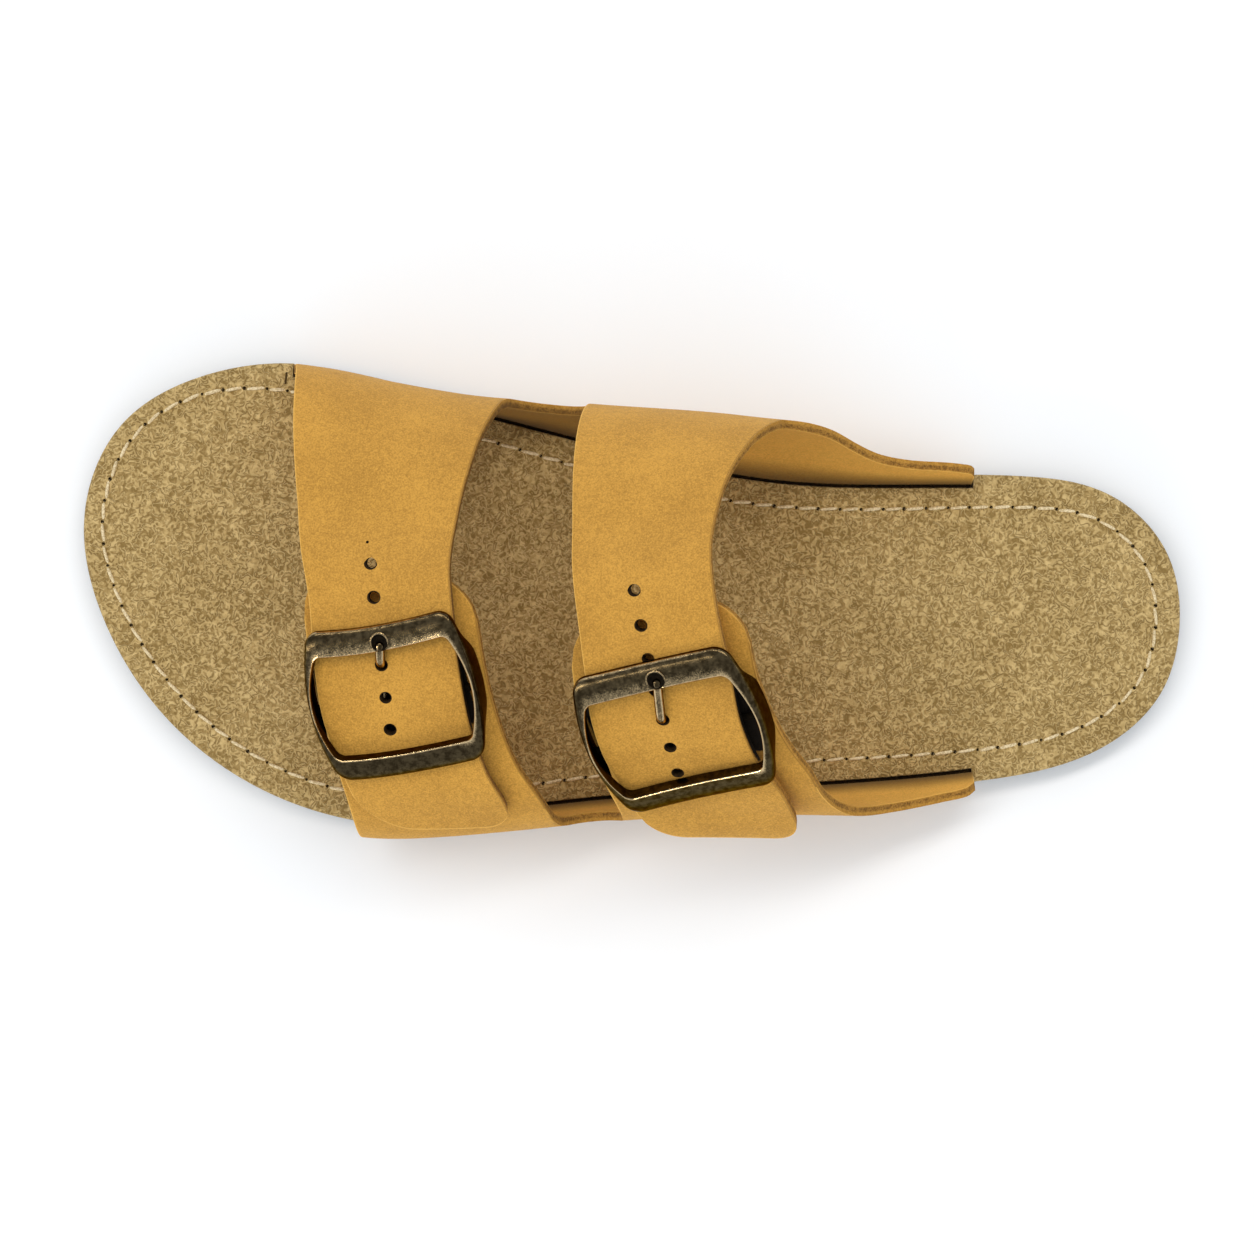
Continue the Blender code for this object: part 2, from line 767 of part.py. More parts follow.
def hole_place(holes, index):
    """Pattern place (x, climb) of one punched hole."""
    climb = holes.first_climb
    for step in range(index):
        climb += HOLE_PITCH / section_length(holes.first_x + step * holes.step_x)
    return holes.first_x + index * holes.step_x, climb


def make_punch(label, strap, holes, collection):
    """Cutter for a strap's row of punched holes."""
    work = bmesh.new()
    for index in range(holes.count):
        x, climb = hole_place(holes, index)
        lift = strap_lift(strap, climb)
        inner = Vector(to_metres(layer_point(x, climb, lift - PUNCH_REACH)))
        outer = Vector(to_metres(layer_point(x, climb, lift + LEATHER + PUNCH_REACH)))
        axis = outer - inner
        turn = axis.to_track_quat("Z", "Y").to_matrix().to_4x4()
        bmesh.ops.create_cone(
            work,
            cap_ends=True,
            segments=HOLE_SIDES,
            radius1=HOLE_RADIUS * MM,
            radius2=HOLE_RADIUS * MM,
            depth=axis.length,
            matrix=Matrix.Translation((inner + outer) / 2.0) @ turn,
        )
    mesh = bpy.data.meshes.new("punch_" + label)
    work.to_mesh(mesh)
    work.free()
    thing = bpy.data.objects.new("punch_" + label, mesh)
    collection.objects.link(thing)
    hide_cutter(thing)
    return thing


def buckle_point(buckle, along, across, height):
    """Point over the last in a buckle's own sizes: along the strap, across to the toe, and up."""
    hole_x, hole_climb = hole_place(buckle.holes, buckle.hole)
    lower = (along / FRAME_INNER.half_length + 1.0) / 2.0
    lean = math.radians(buckle.lean)
    tilt = math.radians(buckle.tilt + buckle.twist * lower)
    along = (along + FRAME_INNER.half_length) * buckle.length - buckle.reach
    across = across * buckle.width + buckle.aside
    x = hole_x + across * math.cos(tilt) - along * math.sin(lean)
    arc = along * math.cos(lean) + across * math.sin(tilt)
    return layer_point(x, hole_climb + arc / section_length(hole_x), height)


def frame_ring(ring):
    """Plan of a barrel-sided rounded rectangle as (along, across) points, corner by corner."""
    points = []
    for turn in range(4):
        sign_along = 1.0 if turn in (0, 3) else -1.0
        sign_across = 1.0 if turn in (0, 1) else -1.0
        centre = np.array(
            [sign_along * (ring.half_length - ring.corner), sign_across * (ring.half_width - ring.corner)]
        )
        for step in range(FRAME_CORNER_STEPS + 1):
            angle = math.radians(90.0 * turn + 90.0 * step / FRAME_CORNER_STEPS)
            points.append(centre + ring.corner * np.array([math.cos(angle), math.sin(angle)]))
    corners = np.array(points)
    filled = []
    count = len(corners)
    for i in range(count):
        here = corners[i]
        ahead = corners[(i + 1) % count]
        steps = FRAME_SIDE_STEPS if i % (FRAME_CORNER_STEPS + 1) == FRAME_CORNER_STEPS else 1
        for step in range(steps):
            along, across = here + (ahead - here) * step / steps
            swell = 1.0 - (along / ring.half_length) ** 2
            across += ring.barrel * swell * across / ring.half_width
            filled.append((along, across))
    return filled


def side_depth(along, across):
    """How far a frame's outer rim reaches below its bars, most where it carries the pivot."""
    if abs(across) < FRAME_INNER.half_width:
        return BAR_STEP
    share = (abs(along) / FRAME_INNER.half_length - SIDE_DEEP) / (SIDE_SHALLOW - SIDE_DEEP)
    share = min(max(share, 0.0), 1.0)
    ease = share * share * (3.0 - 2.0 * share)
    return BAR_STEP + (BAR_BOTTOM - SIDE_BOTTOM - BAR_STEP) * (1.0 - ease)


def make_frame(buckle, collection):
    """A buckle's frame: one closed ring bent to the strap."""
    inner = frame_ring(FRAME_INNER)
    outer = frame_ring(FRAME_OUTER)
    size = len(FRAME_PROFILE)
    vertices = []
    for near, far in zip(inner, outer):
        depth = side_depth(*near)
        for spot in FRAME_PROFILE:
            along = near[0] + (far[0] - near[0]) * spot.outward
            across = near[1] + (far[1] - near[1]) * spot.outward
            height = BAR_BOTTOM + FRAME_THICKNESS * spot.upward - depth * spot.deep
            vertices.append(buckle_point(buckle, along, across, height))
    faces = []
    count = len(inner)
    for i in range(count):
        here = i * size
        beside = (i + 1) % count * size
        for k in range(size):
            m = (k + 1) % size
            faces.append((here + k, here + m, beside + m, beside + k))
    return make_part("buckle_frame_" + buckle.label, vertices, faces, BRONZE, collection)


def make_rod(name, points, radius, collection):
    """Round rod along points, as a closed mesh."""
    curve = bpy.data.curves.new(name, "CURVE")
    curve.dimensions = "3D"
    curve.bevel_depth = radius * MM
    curve.bevel_resolution = PRONG_SIDES
    curve.use_fill_caps = True
    spline = curve.splines.new("POLY")
    spline.points.add(len(points) - 1)
    for spot, point in zip(spline.points, points):
        spot.co = (*to_metres(point), 1.0)
    rod = bpy.data.objects.new(name + "_path", curve)
    collection.objects.link(rod)
    graph = bpy.context.evaluated_depsgraph_get()
    mesh = bpy.data.meshes.new_from_object(rod.evaluated_get(graph))
    mesh.name = name
    bpy.data.objects.remove(rod)
    weld(mesh)
    thing = bpy.data.objects.new(name, mesh)
    collection.objects.link(thing)
    return thing


def prong_point(buckle, from_hole, height):
    """Point over the straight line that a prong takes, past the hole by from_hole."""
    hole = buckle.reach / buckle.length - FRAME_INNER.half_length
    middle = -buckle.aside / buckle.width
    across = middle + buckle.swing * from_hole / (hole - NOTCH_ALONG)
    return buckle_point(buckle, hole + from_hole, across, height)


def prong_path(buckle):
    """Middle line of a prong: from the pivot under the strap, up through the hole, to the bar."""
    hole = buckle.reach / buckle.length - FRAME_INNER.half_length
    rise = PRONG_HEIGHT - PIVOT_HEIGHT
    places = [ProngRow(PIVOT_ALONG + PRONG_ROOT - hole, 0.0)]
    places += PRONG_ROWS
    places.append(ProngRow(NOTCH_ALONG - hole, 1.0))
    return [prong_point(buckle, row.from_hole, PIVOT_HEIGHT + rise * row.rise) for row in places]


def pivot_path(buckle, half):
    """Middle line of the bar that the prong turns on."""
    places = np.linspace(-half, half, PIVOT_STEPS)
    return [buckle_point(buckle, PIVOT_ALONG, across, PIVOT_HEIGHT) for across in places]


def make_prong(buckle, collection, cutters):
    """A prong in one piece with the bar it turns on."""
    name = "buckle_prong_" + buckle.label
    thing = make_rod(name, prong_path(buckle), PRONG_RADIUS, collection)
    thing.data.materials.clear()
    thing.data.materials.append(make_material(name, BRONZE))
    bar = make_rod("pivot_" + buckle.label, pivot_path(buckle, PIVOT_HALF), PIVOT_RADIUS, cutters)
    hide_cutter(bar)
    cut(thing, bar, "UNION")
    return thing


def make_notch(buckle, collection):
    """Cutter for the round seat of the prong's tip in the upper bar."""
    hole = buckle.reach / buckle.length - FRAME_INNER.half_length
    place = prong_point(buckle, NOTCH_ALONG - hole, PRONG_HEIGHT + NOTCH_RISE)
    work = bmesh.new()
    bmesh.ops.create_uvsphere(
        work,
        u_segments=NOTCH_SEGMENTS,
        v_segments=NOTCH_RINGS,
        radius=NOTCH_RADIUS * MM,
        matrix=Matrix.Translation(to_metres(place)),
    )
    mesh = bpy.data.meshes.new("notch_" + buckle.label)
    work.to_mesh(mesh)
    work.free()
    thing = bpy.data.objects.new("notch_" + buckle.label, mesh)
    collection.objects.link(thing)
    hide_cutter(thing)
    return thing


def make_buckle(buckle, strap_piece, collection, cutters):
    """A frame and its prong, with the room each needs cut from its neighbours."""
    frame = make_frame(buckle, collection)
    make_prong(buckle, collection, cutters)
    seats = make_rod(
        "pivot_seat_" + buckle.label,
        pivot_path(buckle, PIVOT_HALF + PRONG_CLEARANCE),
        PIVOT_RADIUS + PRONG_CLEARANCE,
        cutters,
    )
    room = make_rod(
        "prong_room_" + buckle.label, prong_path(buckle), PRONG_RADIUS + PRONG_CLEARANCE, cutters
    )
    hide_cutter(seats)
    hide_cutter(room)
    cut(frame, seats)
    cut(frame, make_notch(buckle, cutters))
    cut(frame, room)
    cut(strap_piece, room)


def main():
    """Build the sandal."""
    for thing in list(bpy.data.objects):
        bpy.data.objects.remove(thing)
    parts = make_collection(NAME)
    cutters = make_collection("cutters")
    make_outsole(parts)
    make_insole(parts)
    medial = make_leather("upper_medial", MEDIAL_PATTERN, parts)
    make_leather("upper_lateral", LATERAL_PATTERN, parts)
    cut(medial, make_punch("front", FRONT_STRAP, FRONT_HOLES, cutters))
    cut(medial, make_punch("rear", REAR_STRAP, REAR_HOLES, cutters))
    for buckle in BUCKLES:
        make_buckle(buckle, medial, parts, cutters)


main()
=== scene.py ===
"""Looks of the two-strap barefoot sandal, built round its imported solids.

Sizes are in millimetres in the last's own axes, as in the part's source: x runs from the
back of the heel to the toe tip, y towards the outer side of the foot and z up from the floor.
"""

import math
from collections import namedtuple

import bmesh
import bpy
import numpy as np
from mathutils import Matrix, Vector


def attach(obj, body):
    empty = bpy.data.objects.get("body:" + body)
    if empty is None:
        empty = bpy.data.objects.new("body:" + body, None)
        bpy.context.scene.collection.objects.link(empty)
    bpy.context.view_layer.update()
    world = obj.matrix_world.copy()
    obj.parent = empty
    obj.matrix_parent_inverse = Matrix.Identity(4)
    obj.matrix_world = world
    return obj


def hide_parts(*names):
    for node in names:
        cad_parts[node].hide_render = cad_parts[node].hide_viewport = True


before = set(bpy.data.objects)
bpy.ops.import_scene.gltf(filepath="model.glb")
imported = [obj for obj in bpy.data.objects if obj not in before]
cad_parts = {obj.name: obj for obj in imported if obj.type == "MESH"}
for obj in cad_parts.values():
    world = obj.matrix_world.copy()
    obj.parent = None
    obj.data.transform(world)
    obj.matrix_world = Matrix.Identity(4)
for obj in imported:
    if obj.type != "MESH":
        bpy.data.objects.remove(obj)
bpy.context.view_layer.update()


def table(kind, *rows):
    """Rows of plain values as a table with named columns."""
    return tuple(kind(*row) for row in rows)


MM = 0.001
SEED = 7
AHEAD = (1.0, 0.0, 0.0)
UP = (0.0, 0.0, 1.0)

# Sole stack and leather, as in the part's source but for the notches, which end closer here
OUTSOLE_THICKNESS = 4.0
INSOLE_THICKNESS = 4.0
SEAT_GAP = 0.3
INSOLE_BOTTOM = OUTSOLE_THICKNESS + SEAT_GAP
INSOLE_TOP = INSOLE_BOTTOM + INSOLE_THICKNESS
LEATHER = 2.2
SEAM_INSET = 0.25
MARGIN_WIDTH = 9.0
MARGIN_TOP = INSOLE_BOTTOM + LEATHER
NOTCH_DEPTH = SEAM_INSET + LEATHER + SEAT_GAP
NOTCH_END_GAP = 0.35
FOOTPRINT_MIDDLE = (135.0, 12.5)

# Outline of the sole, with how far inside it the stitch line runs
OutlinePoint = namedtuple("OutlinePoint", "place x y stitch")
SOLE_OUTLINE = table(
    OutlinePoint,
    ("heel back", 0.0, 3.0, 6.0),
    ("heel back, inner side", 4.6, -15.5, 6.2),
    ("heel corner, inner side", 20.0, -28.6, 6.8),
    ("heel, inner side", 42.0, -31.3, 7.7),
    ("waist, inner side", 100.0, -27.9, 8.9),
    ("behind the ball, inner side", 150.0, -34.0, 9.2),
    ("ball, inner side", 200.0, -42.4, 7.6),
    ("big toe joint", 223.0, -44.2, 6.8),
    ("big toe", 245.0, -38.9, 4.3),
    ("big toe end", 262.0, -26.8, 4.2),
    ("toe tip", 270.0, -2.5, 4.6),
    ("middle toes", 263.5, 21.5, 5.5),
    ("small toes", 246.0, 44.9, 6.4),
    ("small toe joint", 221.0, 60.6, 6.6),
    ("ball, outer side", 190.0, 66.7, 7.0),
    ("behind the ball, outer side", 148.0, 60.6, 8.1),
    ("waist, outer side", 100.0, 52.9, 8.7),
    ("heel, outer side", 45.0, 43.9, 7.7),
    ("heel corner, outer side", 15.5, 32.8, 6.8),
    ("heel back, outer side", 3.0, 18.5, 6.2),
)
OUTLINE_STEPS = 24

# Levels of the two soles: how far inside the outline, how far inside it in a notch, and how high
Level = namedtuple("Level", "inward notch height")
FOOTBED_LEVELS = table(
    Level,
    (0.0, NOTCH_DEPTH + MARGIN_WIDTH, INSOLE_BOTTOM),
    (0.0, NOTCH_DEPTH + MARGIN_WIDTH, MARGIN_TOP + SEAT_GAP),
    (0.0, NOTCH_DEPTH + 0.5, MARGIN_TOP + SEAT_GAP),
    (0.0, NOTCH_DEPTH + 0.5, INSOLE_TOP - 0.9),
    (0.1, NOTCH_DEPTH + 0.55, INSOLE_TOP - 0.45),
    (0.35, NOTCH_DEPTH + 0.7, INSOLE_TOP - 0.14),
    (0.8, NOTCH_DEPTH + 1.0, INSOLE_TOP),
)
OUTSOLE_LEVELS = table(
    Level,
    (1.1, 0.0, 0.0),
    (0.55, 0.0, 0.12),
    (0.18, 0.0, 0.45),
    (0.0, 0.0, 1.0),
    (0.0, 0.0, OUTSOLE_THICKNESS - 0.5),
    (0.12, 0.0, OUTSOLE_THICKNESS - 0.15),
    (0.4, 0.0, OUTSOLE_THICKNESS),
)
SOLE_SHARP = 35.0
WELD = 0.01

# The last above the insole
Section = namedtuple(
    "Section",
    "x crown_y crown_z medial_out medial_z medial_round lateral_out lateral_z lateral_round",
)
LAST = table(
    Section,
    (40.0, 2.0, 94.0, 4.6, 44.0, 0.50, 5.5, 40.0, 0.40),
    (60.0, 1.0, 88.0, 5.0, 42.0, 0.50, 6.2, 37.0, 0.40),
    (76.0, 0.0, 83.5, 6.4, 40.0, 0.52, 4.7, 32.0, 0.40),
    (92.0, -0.5, 79.0, 10.2, 38.0, 0.54, 3.6, 29.0, 0.39),
    (112.0, -1.0, 74.0, 10.5, 36.0, 0.54, 2.8, 27.0, 0.38),
    (150.0, -2.0, 64.5, 5.2, 31.0, 0.54, 2.4, 24.0, 0.42),
    (176.0, -3.0, 58.0, 0.6, 27.0, 0.54, 2.2, 22.0, 0.48),
    (200.0, -3.5, 54.5, -1.0, 25.0, 0.54, 3.2, 21.0, 0.48),
    (222.0, -4.0, 52.0, -0.9, 24.0, 0.54, 3.0, 20.0, 0.48),
    (240.0, -5.0, 50.0, -0.8, 22.0, 0.54, 2.8, 19.0, 0.48),
)
SECTION_STEPS = 60
WALL_HOLD = 0.4
WALL_FLARE = 0.75
GRID_START = 36.0
GRID_END = 244.0
GRID_STEP = 0.5
GRID_AROUND = 280
GRID_HAIR = 0.001
PROBE_ALONG = 1.0
PROBE_AROUND = 0.01

# Patterns of the two leather pieces
EdgeRow = namedtuple("EdgeRow", "climb toe_x heel_x")
LiftRow = namedtuple("LiftRow", "climb lift")
EndRow = namedtuple("EndRow", "x climb")
Strap = namedtuple("Strap", "edges rows toe_root heel_root tip toe_corner heel_corner lifts")
Pattern = namedtuple("Pattern", "side front rear bridge_low bridge_gloom wing")

TAB_TOP = LEATHER + SEAT_GAP
PIVOT_RADIUS = 0.9
STRAP_OVER = TAB_TOP + 2.0 * PIVOT_RADIUS + SEAT_GAP

FRONT_STRAP = Strap(
    edges=table(
        EdgeRow,
        (0.00, 221.5, 166.5),
        (0.15, 218.8, 168.6),
        (0.29, 216.4, 173.6),
        (0.42, 212.4, 176.2),
        (0.52, 208.0, 174.0),
        (0.60, 206.0, 171.5),
        (0.68, 202.9, 168.3),
        (0.74, 198.7, 164.8),
        (0.79, 195.4, 161.0),
        (0.85, 189.5, 158.4),
    ),
    rows=84,
    toe_root=0.16,
    heel_root=0.16,
    tip=0.843,
    toe_corner=9.0,
    heel_corner=6.0,
    lifts=table(
        LiftRow,
        (0.00, 0.0),
        (0.38, 0.0),
        (0.47, STRAP_OVER),
        (0.74, STRAP_OVER),
        (0.84, TAB_TOP + 0.4),
    ),
)
REAR_STRAP = Strap(
    edges=table(
        EdgeRow,
        (0.00, 146.0, 99.0),
        (0.13, 147.8, 100.0),
        (0.20, 149.4, 103.0),
        (0.29, 150.2, 110.2),
        (0.37, 149.6, 115.4),
        (0.44, 148.2, 116.9),
        (0.50, 145.9, 114.6),
        (0.60, 142.7, 109.2),
        (0.66, 141.0, 106.3),
        (0.72, 137.5, 101.4),
        (0.77, 133.1, 95.4),
        (0.82, 129.2, 91.8),
        (0.88, 123.0, 88.0),
    ),
    rows=84,
    toe_root=0.14,
    heel_root=0.19,
    tip=0.862,
    toe_corner=8.0,
    heel_corner=8.0,
    lifts=table(
        LiftRow,
        (0.00, 0.0),
        (0.40, 0.0),
        (0.50, STRAP_OVER),
        (0.805, STRAP_OVER),
        (0.87, 6.4),
    ),
)
MEDIAL_PATTERN = Pattern(
    side=-1,
    front=FRONT_STRAP,
    rear=REAR_STRAP,
    bridge_low=0.085,
    # Share of painted shade on the inside between the straps
    bridge_gloom=0.62,
    wing=table(
        EndRow,
        (97.5, 0.172),
        (91.0, 0.138),
        (84.6, 0.100),
        (78.0, 0.074),
        (71.0, 0.061),
        (57.6, 0.050),
        (55.0, 0.044),
        (53.8, 0.030),
    ),
)
FRONT_TAB = Strap(
    edges=table(
        EdgeRow,
        (0.00, 193.2, 146.5),
        (0.09, 194.7, 148.0),
        (0.17, 197.0, 151.2),
        (0.26, 201.4, 158.8),
        (0.36, 206.6, 164.8),
        (0.52, 212.0, 171.2),
    ),
    rows=44,
    toe_root=0.17,
    heel_root=0.17,
    tip=0.536,
    toe_corner=14.0,
    heel_corner=11.0,
    lifts=table(LiftRow, (0.0, 0.0), (1.0, 0.0)),
)
REAR_TAB = Strap(
    edges=table(
        EdgeRow,
        (0.00, 130.5, 84.0),
        (0.15, 133.5, 85.5),
        (0.24, 139.0, 89.2),
        (0.29, 142.0, 95.2),
        (0.38, 146.0, 103.4),
        (0.49, 148.3, 109.0),
    ),
    rows=44,
    toe_root=0.14,
    heel_root=0.23,
    tip=0.490,
    toe_corner=15.0,
    heel_corner=10.0,
    lifts=table(LiftRow, (0.0, 0.0), (1.0, 0.0)),
)
LATERAL_PATTERN = Pattern(
    side=1,
    front=FRONT_TAB,
    rear=REAR_TAB,
    bridge_low=0.070,
    bridge_gloom=0.0,
    wing=table(
        EndRow,
        (86.0, 0.202),
        (81.0, 0.160),
        (74.5, 0.118),
        (68.5, 0.086),
        (63.0, 0.070),
        (56.0, 0.057),
        (49.6, 0.047),
        (47.8, 0.032),
    ),
)
WALL_ROWS = 14
TAIL_ROWS = 18
TAIL_REACH = 0.09
STRAP_COLUMNS = 34
BRIDGE_COLUMNS = 34
WING_COLUMNS = 44
BRIDGE_SQUARE = 2.4
WING_MIDDLE = 80.0
SEAM_ROWS = 2
EDGE_ROUND = 0.32
EDGE_SEGMENTS = 2
EDGE_ANGLE = 50.0
LEATHER_SHARP = 60.0

# Shares of a strap's width, towards the bridge, at which its painted shade between the straps starts
# and is full
BRIDGE_SHADE_START = 0.5
BRIDGE_SHADE_FULL = 0.8

# Punched holes
HoleRow = namedtuple("HoleRow", "first_x first_climb step_x count")
HOLE_PITCH = 7.4
HOLE_RADIUS = 1.25
HOLE_SIDES = 28
HOLE_UNEVEN = (0.96, 1.06)
FRONT_HOLES = HoleRow(194.4, 0.452, -1.4, 6)
REAR_HOLES = HoleRow(132.6, 0.494, -2.05, 7)

# How a punched hole widens: heights from the strap's outer face, and what they add to the radius
PunchRow = namedtuple("PunchRow", "height wider")
PUNCH = table(
    PunchRow, (-2.0 * LEATHER, 0.0), (-0.35, 0.0), (-0.12, 0.08), (0.08, 0.4), (LEATHER, 0.4)
)

# Small damage: nick in the front strap's face, and slit in the footbed from point to point
Nick = namedtuple("Nick", "x climb radius")
FRONT_NICK = Nick(195.9, 0.4255, 0.34)
SLIT = ((223.3, -41.9), (223.4, -39.0))
SLIT_RADIUS = 0.26

# Buckles
Buckle = namedtuple("Buckle", "label holes hole length width reach aside lean tilt twist swing")
BUCKLES = table(
    Buckle,
    ("front", FRONT_HOLES, 3, 0.93, 0.96, 3.5, -1.2, 17.0, 15.0, -1.0, 1.5),
    ("rear", REAR_HOLES, 4, 1.03, 1.0, 9.2, -2.0, 23.0, 15.0, 4.5, 3.0),
)
FrameRing = namedtuple("FrameRing", "half_length half_width corner barrel")
FRAME_INNER = FrameRing(12.6, 16.4, 1.3, 3.2)
FRAME_OUTER = FrameRing(18.6, 17.5, 2.8, 3.35)
FRAME_THICKNESS = 2.8
FRAME_CORNER_STEPS = 12
FRAME_SIDE_STEPS = 26
FRAME_SHARP = 40.0
FRAME_HEEL_POWER = 4
BAR_STEP = 0.1
BAR_BOTTOM = STRAP_OVER + LEATHER + SEAT_GAP + BAR_STEP
SIDE_BOTTOM = TAB_TOP
SIDE_DEEP = 0.35
SIDE_SHALLOW = 0.75
# Section of the frame: rim is millimetres out from the inner edge, outward and upward are shares
# of its width and thickness, and deep is the share of the sides' extra depth. The last three say how
# much brass shows at the upper bar, the lower bar and the heel side: where the dark finish is rubbed
# off, and as painted highlights along the rims and outer top edge, with painted shade at the lowest
# Brass level below none: painted shade, kept at the darkest finish
PAINTED_SHADE_LEVEL = -0.6
ProfilePoint = namedtuple("ProfilePoint", "rim outward upward deep wear_up wear_low wear_heel")
FRAME_PROFILE = table(
    ProfilePoint,
    (0.00, 0.00, 0.00, 0.0, PAINTED_SHADE_LEVEL, PAINTED_SHADE_LEVEL, PAINTED_SHADE_LEVEL),
    (0.00, 0.00, 0.45, 0.0, PAINTED_SHADE_LEVEL, PAINTED_SHADE_LEVEL, PAINTED_SHADE_LEVEL),
    (0.00, 0.00, 0.84, 0.0, 0.0, PAINTED_SHADE_LEVEL, 0.2),
    (0.08, 0.00, 0.97, 0.0, 1.0, 0.6, 1.0),
    (0.26, 0.00, 1.03, 0.0, 1.0, 0.9, 1.3),
    (0.48, 0.00, 1.00, 0.0, 0.60, 0.0, 0.9),
    (0.20, 0.30, 0.98, 0.0, 0.38, -0.3, 0.2),
    (0.00, 0.55, 0.92, 0.0, 0.10, -0.3, -0.3),
    (0.00, 0.75, 0.80, 0.0, 0.05, -0.1, -0.3),
    (0.00, 0.90, 0.62, 0.0, 0.15, 0.0, -0.2),
    (0.00, 0.98, 0.42, 0.0, 0.80, 0.1, 0.3),
    (0.00, 1.00, 0.25, 0.0, 0.30, 0.0, -0.3),
    (0.00, 1.00, 0.00, 1.0, 0.0, 0.0, -0.3),
    (0.00, 0.55, 0.00, 1.0, 0.0, 0.0, 0.0),
    (0.00, 0.50, 0.00, 0.0, 0.0, 0.0, 0.0),
)
PIVOT_ALONG = 2.0
PIVOT_HALF = 20.5
PIVOT_HEIGHT = TAB_TOP + PIVOT_RADIUS
PRONG_RADIUS = 1.12
PRONG_HEIGHT = STRAP_OVER + LEATHER + SEAT_GAP + 1.0
PRONG_SIDES = 32
PRONG_STEPS = 56
PRONG_ROOT = 0.4
# How the prong climbs through its hole: places along from the hole, and shares of its rise
ProngRow = namedtuple("ProngRow", "from_hole rise")
PRONG_ROWS = table(
    ProngRow,
    (1.8, 0.02),
    (0.6, 0.22),
    (-0.3, 0.70),
    (-1.4, 1.02),
)
PRONG_OVER = 1.14
# How much brass shows on the prong, by degrees round from its upper side: partly rubbed-off finish,
# with painted highlight streaks and painted shade down its sides
StreakRow = namedtuple("StreakRow", "turn wear")
PRONG_STREAKS = table(
    StreakRow,
    (0.0, 0.50),
    (20.0, 0.50),
    (42.0, 1.20),
    (60.0, 0.60),
    (85.0, PAINTED_SHADE_LEVEL),
    (180.0, PAINTED_SHADE_LEVEL),
)
# Painted shade on the prong where its tip lies in the seat, by millimetres from its tip
SeatedRow = namedtuple("SeatedRow", "from_tip wear")
PRONG_SEATED = table(SeatedRow, (0.6, PAINTED_SHADE_LEVEL), (2.4, 0.0), (5.0, 0.0))
PRONG_BLUNT = 0.02
PIVOT_STEPS = 41
PIVOT_SIDES = 14
SEAT_BACK = 2.2
SEAT_ALONG = -FRAME_INNER.half_length - SEAT_BACK
SEAT_RADIUS = 2.1
SEAT_DEPTH = 1.1
SEAT_RIM = 0.24
SEAT_OPEN = 1.15
SEAT_STEPS = 33
SEAT_SIDES = 48
SEAT_RINGS = 32
SEAT_RIM_SUNK = 0.05
SEAT_RIM_SIDES = 12
SEAT_RIM_TAPER = 4.0
SEAT_RIM_END = 0.4
SEAT_RIM_WEAR = 0.6
# Window of a buckle in which the leather is painted near black, as shade under the strap and frame
WINDOW_SHADE_HEEL = 17.8
WINDOW_SHADE_TOE = 20.5
WINDOW_SHADE_ALONG = 13.0
WINDOW_SHADE_SOFT = 1.6

# Stitch line
STITCH_PITCH = 5.33
STITCH_SHARE = 0.86
STITCH_SCATTER = 0.12
STITCH_SLANT = 0.24
SLANT_UNEVEN = (0.6, 1.3)
STITCH_DIVE = 0.75
STITCH_RISE = 0.95
STITCH_BOW = 0.55
RISE_UNEVEN = (-0.05, 0.05)
THREAD_RADIUS = 0.41
THREAD_STEPS = 11
THREAD_SIDES = 9
THREAD_UNEVEN = (0.92, 1.08)
THREAD_END = 0.72
NEEDLE_RADIUS = 0.48
NEEDLE_DEPTH = 0.9
NEEDLE_OVER = 0.5
NEEDLE_SIDES = 10
NEEDLE_TAPER = 0.6
NEEDLE_UNEVEN = (0.85, 1.2)

# Layers of felt strands: size and curl of the windings, strands to a winding, shift of the layer,
# and size of the patches in which it lies on top
FeltLayer = namedtuple("FeltLayer", "size curl strands shift patch")
FELT_LAYERS = table(
    FeltLayer,
    (1.95, 0.9, 2.9, 0.0, 0.0),
    (1.70, 1.1, 2.7, 37.0, 1.7),
    (2.15, 0.8, 3.1, 81.0, 1.3),
    (1.85, 1.0, 2.9, 129.0, 2.0),
)

# Noise stirred into the felt
Stir = namedtuple("Stir", "size detail share")
FELT_STIRS = table(Stir, (0.25, 2.0, 0.35), (1.3, 1.0, 0.75), (14.0, 2.0, 0.35))
FELT_DARK = (0.245, 0.154, 0.045)
FELT_MIDDLE = (0.436, 0.296, 0.112)
FELT_LIGHT = (0.65, 0.470, 0.204)

# Leather colours, and tints of its base colour
NUBUCK_COLOURS = ((0.655, 0.338, 0.054), (0.400, 0.196, 0.028))
FLESH_COLOURS = ((0.90, 0.495, 0.091), (0.70, 0.370, 0.061))
SPECK_TINT = (0.5, 0.45, 0.4)
PALE_TINT = (1.35, 1.5, 2.0)
BURNT_TINT = (0.42, 0.38, 0.36)
SHADE_COLOUR = (0.045, 0.022, 0.006)
# Painted shade: near black in a buckle's window, on the leather's face and cut edge, and darker leather
# between the straps
WINDOW_SHADE_COLOUR = (0.010, 0.006, 0.003)
WINDOW_SHADE_EDGE_COLOUR = (0.012, 0.008, 0.004)
SHADE_BETWEEN_STRAPS_COLOUR = (0.070, 0.036, 0.010)
SHEEN_COLOUR = (1.0, 0.83, 0.55)
EDGE_AMBER = ((0.355, 0.168, 0.027), (0.57, 0.290, 0.052))
EDGE_BROWN = ((0.15, 0.068, 0.014), (0.43, 0.212, 0.040))

# Metal and rubber colours
PATINA = ((0.030, 0.021, 0.010), (0.082, 0.061, 0.032))
# Brass where the finish is rubbed through, and also for painted highlights on rims, edges and the prong
BRASS_WEAR_AND_HIGHLIGHT = (0.72, 0.53, 0.29)
BRASS_GLANCE = (0.55, 0.43, 0.26)
RUBBER_BROWN = ((0.034, 0.026, 0.019), (0.055, 0.042, 0.031))

